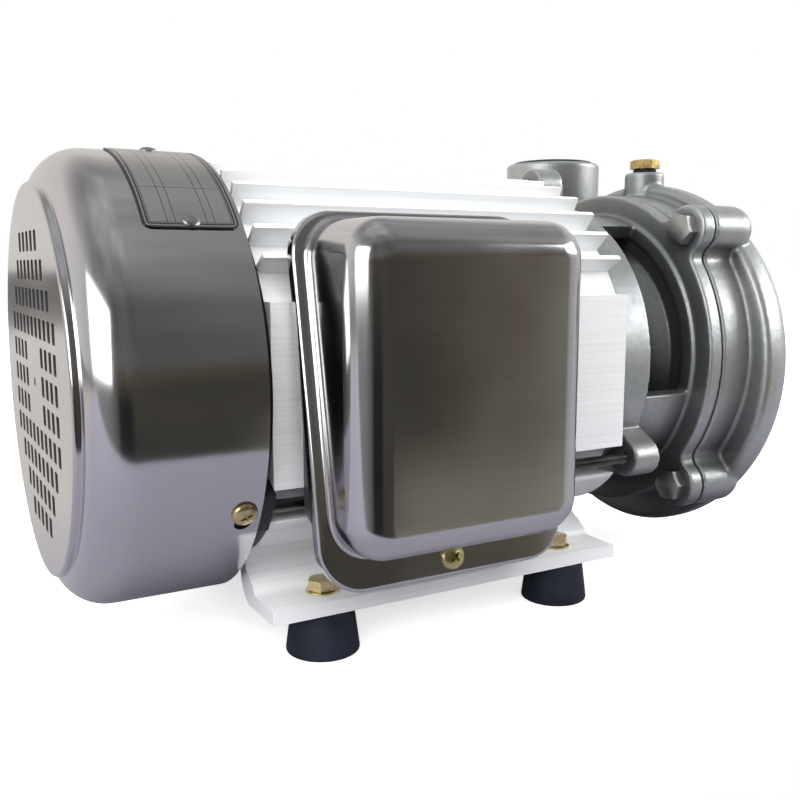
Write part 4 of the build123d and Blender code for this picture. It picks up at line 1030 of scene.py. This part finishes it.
class PUMP_OT_data_plate(bpy.types.Operator):
    """Plain curved plate and its two domed rivets"""
    bl_idname = "pump.data_plate"
    bl_label = "Plain plate"

    def execute(self, context):
        plate = context.scene.pump_plate
        first, last = span("data_plate", 0)
        low, high = span("fan_cover", 1)
        radius = (high - low) / 2
        thick = 0.6 * MM
        arc = (plate.stop - plate.start) * radius
        wide = last - first
        mesh = bmesh.new()
        uv = mesh.loops.layers.uv.new("UVMap")
        steps, cells = 40, 14
        top, bottom = {}, {}
        for i in range(steps + 1):
            for j in range(cells + 1):
                u, v = self.inside(-arc / 2 + arc * i / steps, -wide / 2 + wide * j / cells,
                                   arc, wide, plate.corner)
                for store, out in ((top, thick), (bottom, 0.0)):
                    a = plate.start + (u + arc / 2) / radius
                    r = radius + out + 0.02 * MM
                    store[i, j] = mesh.verts.new(((first + last) / 2 + v, SHAFT.y - sin(a) * r,
                                                  SHAFT.z + cos(a) * r))
        edge = {}
        for i in range(steps + 1):
            for j in range(cells + 1):
                u = arc / 2 - abs(-arc / 2 + arc * i / steps)
                v = wide / 2 - abs(-wide / 2 + wide * j / cells)
                edge[top[i, j]] = (u, v)
        for store in (top, bottom):
            for i in range(steps):
                for j in range(cells):
                    ring = [store[i, j], store[i + 1, j], store[i + 1, j + 1], store[i, j + 1]]
                    face = mesh.faces.new(ring)
                    for corner in face.loops:
                        corner[uv].uv = edge.get(corner.vert, (50 * MM, 50 * MM))
        border = [(i, 0) for i in range(steps)] + [(steps, j) for j in range(cells)]
        border += [(steps - i, cells - j) for i, j in border]
        stitch(mesh, [[bottom[k] for k in border], [top[k] for k in border]])
        piece = to_object(mesh, "plain_plate")
        soften(piece, 0.12 * MM)
        dress(piece, "plate_metal", "frame", "data_plate")
        self.rivets(plate, (first + last) / 2, radius + thick)
        return {"FINISHED"}

    def inside(self, u, v, arc, wide, corner):
        """Moves a grid point in from a square corner onto the rounded one."""
        du = abs(u) - (arc / 2 - corner)
        dv = abs(v) - (wide / 2 - corner)
        if du > 0 and dv > 0:
            reach = (du * du + dv * dv) ** 0.5
            limit = max(du, dv)
            du, dv = du * limit / reach, dv * limit / reach
            u = (arc / 2 - corner + du) * (1 if u > 0 else -1)
            v = (wide / 2 - corner + dv) * (1 if v > 0 else -1)
        return u, v

    def rivets(self, plate, x, radius):
        """Two domed rivets that hold the plate."""
        dome = [(plate.rivet_rise * cos(k / 8 * pi / 2), plate.rivet_radius * sin(k / 8 * pi / 2))
                for k in range(9)]
        rivet = lathed("rivet", dome + [(-0.3 * MM, plate.rivet_radius), (-0.3 * MM, 0)], 36)
        places = [off_shaft(x, radius, angle) for angle in
                  (plate.start + plate.rivet_inset, plate.stop - plate.rivet_inset)]
        piece = repeated(rivet, places, "domed_rivets")
        dress(piece, "bolt_steel", "frame", "plate_rivets")


class PUMP_OT_screws(bpy.types.Operator):
    """Pan-head screws of the fan cover and of the terminal box"""
    bl_idname = "pump.screws"
    bl_label = "Pan-head screws"

    def execute(self, context):
        fasteners = context.scene.pump_fasteners
        cover = context.scene.pump_fan_cover
        box = context.scene.pump_box
        low, high = span("fan_cover", 1)
        rim = span("fan_cover", 0)[1]
        places = []
        for angle, spin in ((cover.screw_angle, 0.5), (-cover.screw_angle, 0.2)):
            places.append(off_shaft(rim - cover.screw_inset, (high - low) / 2, angle)
                          @ Matrix.Rotation(spin, 4, "Z"))
        piece = repeated(pan_head_screw(fasteners, 7 * MM), places, "cover_screw_pair")
        dress(piece, "zinc_yellow", "frame", "fan_cover_screws")
        slope = Vector((0, -cos(box.lean), sin(box.lean)))
        seat = middle("terminal_box_screw") - slope * (fasteners.pan_rise - 5 * MM) / 2
        top = box_point(box, 0, 0)
        height = (seat - top).dot(slope)
        seat -= slope * (height - box.sheet)
        piece = repeated(pan_head_screw(fasteners, 5 * MM),
                         [aimed(seat, slope, (1, 0, 0)) @ Matrix.Rotation(0.7, 4, "Z")],
                         "box_screw")
        dress(piece, "zinc_yellow", "box_lid", "terminal_box_screw")
        return {"FINISHED"}


def box_point(box, x, z, out=0.0):
    """Place on the terminal box's parting plane, z above the shaft, moved out towards -Y."""
    reach = box.lid_reach + (box.lid_top - z) * tan(box.lean) + out
    return Vector((middle("terminal_box_cover").x + x, SHAFT.y - reach, SHAFT.z + z))


class PUMP_OT_box_cover(bpy.types.Operator):
    """Drawn terminal box cover with a turned-back rim"""
    bl_idname = "pump.box_cover"
    bl_label = "Terminal box cover"

    def execute(self, context):
        box = context.scene.pump_box
        centre_x = middle("terminal_box_cover").x
        front = span("terminal_box_cover", 1)[0]
        mid = (box.top + box.bottom) / 2
        rim_mid = (box.lid_top + box.lid_bottom) / 2
        root, bend, skirt = 2.4 * MM, 1.6 * MM, box.sheet / cos(box.lean)
        rows = []

        def wall(grow):
            return rounded_rectangle(box.width + 2 * grow, box.top - box.bottom + 2 * grow,
                                     box.corner + grow, 14)

        def rim(grow):
            return rounded_rectangle(box.lid_width + 2 * grow,
                                     box.lid_top - box.lid_bottom + 2 * grow,
                                     box.lid_corner + grow, 14)

        def quarter(steps):
            """Sine and cosine over a quarter turn."""
            return [(sin(pi / 2 * k / steps), cos(pi / 2 * k / steps)) for k in range(steps + 1)]

        for s, c in quarter(12):
            rows.append([Vector((centre_x + u, front + box.edge * (1 - c), SHAFT.z + mid + v))
                         for u, v in wall(-box.edge * (1 - s))])
        for s, c in quarter(6):
            rows.append([box_point(box, u, mid + v, skirt + root * (1 - s))
                         for u, v in wall(root * (1 - c))])
        for s, c in quarter(5):
            rows.append([box_point(box, u, rim_mid + v, skirt - bend * (1 - c))
                         for u, v in rim(-bend * (1 - s))])
        rows.append([box_point(box, u, rim_mid + v, -box.lip) for u, v in rim(0.0)])
        mesh = bmesh.new()
        rings = [loop(mesh, row) for row in rows]
        stitch(mesh, rings)
        fill(mesh, rings[0])
        piece = to_object(mesh, "drawn_cover", sharp=60)
        thick = piece.modifiers.new("sheet", "SOLIDIFY")
        thick.thickness = box.sheet
        thick.offset = -1.0
        settle(piece, 60)
        dress(piece, "polished_sheet", "box_lid", "terminal_box_cover",
              finish="polished_drawn_sheet")
        return {"FINISHED"}


class PUMP_OT_housing(bpy.types.Operator):
    """Extruded motor housing with fins, pads and legs"""
    bl_idname = "pump.housing"
    bl_label = "Motor housing"

    def execute(self, context):
        piece = refined("motor_housing", "finned_extrusion", 0.35 * MM)
        dress(piece, "anodised_aluminium", "frame", "motor_housing")
        return {"FINISHED"}


class PUMP_OT_feet(bpy.types.Operator):
    """Rubber feet and the plated nuts and washers above them"""
    bl_idname = "pump.feet"
    bl_label = "Feet"

    def execute(self, context):
        fasteners = context.scene.pump_fasteners
        base, high = span("rubber_feet", 2)
        centre = middle("rubber_feet")
        spots = [Vector((centre.x + sx * fasteners.foot_pitch_x / 2,
                         centre.y + sy * fasteners.foot_pitch_y / 2, 0))
                 for sx in (-1, 1) for sy in (-1, 1)]
        groove = base + 1.2 * MM
        outline = rounded([(base, 0, 0), (base, 5 * MM, 0), (groove, 6 * MM, 0),
                           (groove, 9 * MM, 0), (base, 10 * MM, 0),
                           (base, fasteners.foot_base, 1.0 * MM),
                           (high, fasteners.foot_top, 0.8 * MM), (high, 0, 0)], 4)
        feet = repeated(lathed("foot", outline, 56), [Matrix.Translation(s) for s in spots],
                        "moulded_feet")
        dress(feet, "rubber", "frame", "rubber_feet")
        shelf = span("foot_bolts", 2)[1] - 5 * MM
        bore, wide, thick = 3.1 * MM, 6.4 * MM, 0.8 * MM
        bolt = hexagon_head(fasteners.nut_flats, 4.2 * MM, 3 * MM, 15 * MM)
        bolt.data.transform(Matrix.Translation((0, 0, thick)))
        ring = rounded([(0, bore, 0), (0, wide, 0.2 * MM), (thick, wide, 0.2 * MM),
                        (thick, bore, 0)], 2)
        bolt = combine([bolt, lathed("washer", ring, 48)], "foot_bolt")
        places = [Matrix.Translation(s + Vector((0, 0, shelf))) @ Matrix.Rotation(k * 0.37, 4, "Z")
                  for k, s in enumerate(spots)]
        bolts = repeated(bolt, places, "foot_fasteners")
        dress(bolts, "zinc_yellow", "frame", "foot_bolts")
        return {"FINISHED"}


class PUMP_OT_tie_rods(bpy.types.Operator):
    """Long studs between the end shields, threaded at their pump end"""
    bl_idname = "pump.tie_rods"
    bl_label = "Tie rods"

    def execute(self, context):
        fasteners = context.scene.pump_fasteners
        first, last = span("tie_rods", 0)
        start, radius = last - fasteners.rod_thread, fasteners.rod_radius
        neck = start + 0.5 * MM
        plain = lathed("plain", [(first, 0), (first, radius), (start, radius),
                                 (neck, radius - 0.4 * MM), (neck, 0)], 28)
        thread = threaded_rod(start, last, radius, fasteners.rod_pitch, 0.42 * MM)
        places = [aimed(round_shaft(0, fasteners.rod_circle, 90 + 120 * k), (1, 0, 0), (0, 0, 1))
                  for k in range(3)]
        piece = repeated(combine([plain, thread], "rod"), places, "threaded_studs")
        dress(piece, "bolt_steel", "frame", "tie_rods", finish="rod_steel")
        return {"FINISHED"}


class PUMP_OT_castings(bpy.types.Operator):
    """Pump bracket and volute casing, with blended edges"""
    bl_idname = "pump.castings"
    bl_label = "Castings"

    def execute(self, context):
        voxel = 0.8 * MM
        for node, name in (("pump_bracket", "lantern_bracket"), ("casing", "volute_casing")):
            piece = cast_skin(node, name, voxel, 3)
            dress(piece, "cast_stainless", "frame", node)
        return {"FINISHED"}


class PUMP_OT_casing_bolts(bpy.types.Operator):
    """Hexagon bolts through the joint flange"""
    bl_idname = "pump.casing_bolts"
    bl_label = "Casing bolts"

    def execute(self, context):
        fasteners = context.scene.pump_fasteners
        head_end, tip = span("casing_bolts", 0)
        seat = head_end + fasteners.bolt_head
        bolt = hexagon_head(fasteners.bolt_flats, fasteners.bolt_head, fasteners.bolt_radius,
                            tip - seat)
        places = [aimed(round_shaft(seat, fasteners.bolt_circle, 45 + 90 * k), (-1, 0, 0),
                        (0, 0, 1)) @ Matrix.Rotation(0.3 * k, 4, "Z") for k in range(4)]
        piece = repeated(bolt, places, "hexagon_bolts")
        dress(piece, "bolt_steel", "frame", "casing_bolts")
        return {"FINISHED"}


class PUMP_OT_ports(bpy.types.Operator):
    """Outlet cap, and the priming plug with its thread and its washer"""
    bl_idname = "pump.ports"
    bl_label = "Ports and plug"

    def execute(self, context):
        fasteners = context.scene.pump_fasteners
        low, high = corners("outlet_cap")
        centre, size = (low + high) / 2, high - low
        radius, tall = size.x / 2, size.z
        fine = 0.3 * MM
        dish, button = tall - 0.7 * MM, tall - 0.3 * MM
        outline = rounded([(0, 0, 0), (0, radius, fine), (tall, radius, 1.1 * MM),
                           (tall, radius * 0.86, fine), (dish, radius * 0.83, fine),
                           (dish, radius * 0.2, fine), (button, radius * 0.16, 0.2 * MM),
                           (button, 0, 0)], 4)
        cap = lathed("port_cap", outline, 96, Matrix.Translation((centre.x, centre.y, low.z)))
        dress(cap, "black_plastic", "cap", "outlet_cap")

        low, high = corners("priming_plug_washer")
        centre, size = (low + high) / 2, high - low
        inner, outer, tall = 4.95 * MM, size.x / 2, size.z
        ring = rounded([(0.5 * tall, inner, 0), (0, inner, fine), (0, outer, 0.8 * MM),
                        (tall, outer, 0.8 * MM), (tall, inner, fine), (0.5 * tall, inner, 0)], 4)
        washer = lathed("plug_seal", ring, 56, Matrix.Translation((centre.x, centre.y, low.z)))
        dress(washer, "rubber", "plug_washer", "priming_plug_washer")

        plug_low, plug_high = corners("priming_plug")
        stem = high.z - plug_low.z
        head = hexagon_head(fasteners.plug_flats, plug_high.z - high.z, 4.2 * MM, stem - 0.5 * MM)
        thread = threaded_rod(-stem, 0.1 * MM, 4.8 * MM, 0.907 * MM, 0.5 * MM)
        plug = combine([head, thread], "hexagon_plug")
        plug.data.transform(Matrix.Translation((centre.x, centre.y, high.z))
                            @ Matrix.Rotation(0.25, 4, "Z"))
        dress(plug, "brass", "plug", "priming_plug")
        return {"FINISHED"}


class PUMP_OT_trim(bpy.types.Operator):
    """Smaller pieces with softened edges: end shield, fan, box pan and what it holds"""
    bl_idname = "pump.trim"
    bl_label = "Shield, fan and box parts"

    def execute(self, context):
        record = frame["record"]
        slots = {row["node"]: row["material_slot"] for row in record["subparts"]}
        bodies = record["behaviour"]["bodies"]
        for node, bevel in (("rear_end_shield", 0.6), ("cooling_fan", 0.4), ("fan_clip", 0.15),
                            ("terminal_box_pan", 0.25), ("terminal_box_gasket", 0.3),
                            ("cable_grommet", 0.4), ("run_capacitor", 0.3),
                            ("capacitor_clip", 0.2), ("terminal_block", 0.4),
                            ("terminal_screws", 0.25), ("water_slinger", 0.3),
                            ("motor_shaft", 0.3), ("impeller", 0.4), ("impeller_nut", 0.4)):
            body = next(name for name, members in bodies.items() if node in members)
            piece = refined(node, node + "_finished", bevel * MM)
            dress(piece, slots[node], body, node)
        return {"FINISHED"}


class PUMP_OT_inner(bpy.types.Operator):
    """Finishes for the CAD pieces that stay as they are"""
    bl_idname = "pump.inner"
    bl_label = "Inner pieces"

    def execute(self, context):
        for row in frame["record"]["subparts"]:
            node = frame["nodes"][row["node"]]
            node.data.materials.clear()
            node.data.materials.append(bpy.data.materials[finish_name(row["material_slot"])])
            node.data.shade_smooth()
            node.data.set_sharp_from_angle(angle=radians(35))
        return {"FINISHED"}


# Panel and registration

OPERATORS = (PUMP_OT_inner, PUMP_OT_housing, PUMP_OT_feet, PUMP_OT_tie_rods, PUMP_OT_fan_cover,
             PUMP_OT_data_plate, PUMP_OT_box_cover, PUMP_OT_screws, PUMP_OT_castings,
             PUMP_OT_casing_bolts, PUMP_OT_ports, PUMP_OT_trim, PUMP_OT_studio)
GROUPS = {"pump_studio": PumpStudio, "pump_finishes": PumpFinishes,
          "pump_fan_cover": PumpFanCover, "pump_plate": PumpPlate, "pump_box": PumpBox,
          "pump_fasteners": PumpFasteners}


class PUMP_PT_panel(bpy.types.Panel):
    """Sizes, colours and the steps that build the pump"""
    bl_label = "Centrifugal pump"
    bl_idname = "PUMP_PT_panel"
    bl_space_type = "VIEW_3D"
    bl_region_type = "UI"
    bl_category = "Pump"

    def draw(self, context):
        for name, group in GROUPS.items():
            box = self.layout.box()
            box.label(text=group.__doc__)
            for key in group.__annotations__:
                box.prop(getattr(context.scene, name), key)
        for operator in OPERATORS:
            self.layout.operator(operator.bl_idname)


CLASSES = (*GROUPS.values(), *OPERATORS, PUMP_PT_panel)


def register():
    for item in CLASSES:
        bpy.utils.register_class(item)
    for name, group in GROUPS.items():
        setattr(bpy.types.Scene, name, PointerProperty(type=group))


def unregister():
    for name in GROUPS:
        delattr(bpy.types.Scene, name)
    for item in reversed(CLASSES):
        bpy.utils.unregister_class(item)


def main():
    register()
    finishes(bpy.context.scene.pump_finishes)
    for operator in OPERATORS:
        module, name = operator.bl_idname.split(".")
        getattr(getattr(bpy.ops, module), name)()


if __name__ == "__main__":
    main()
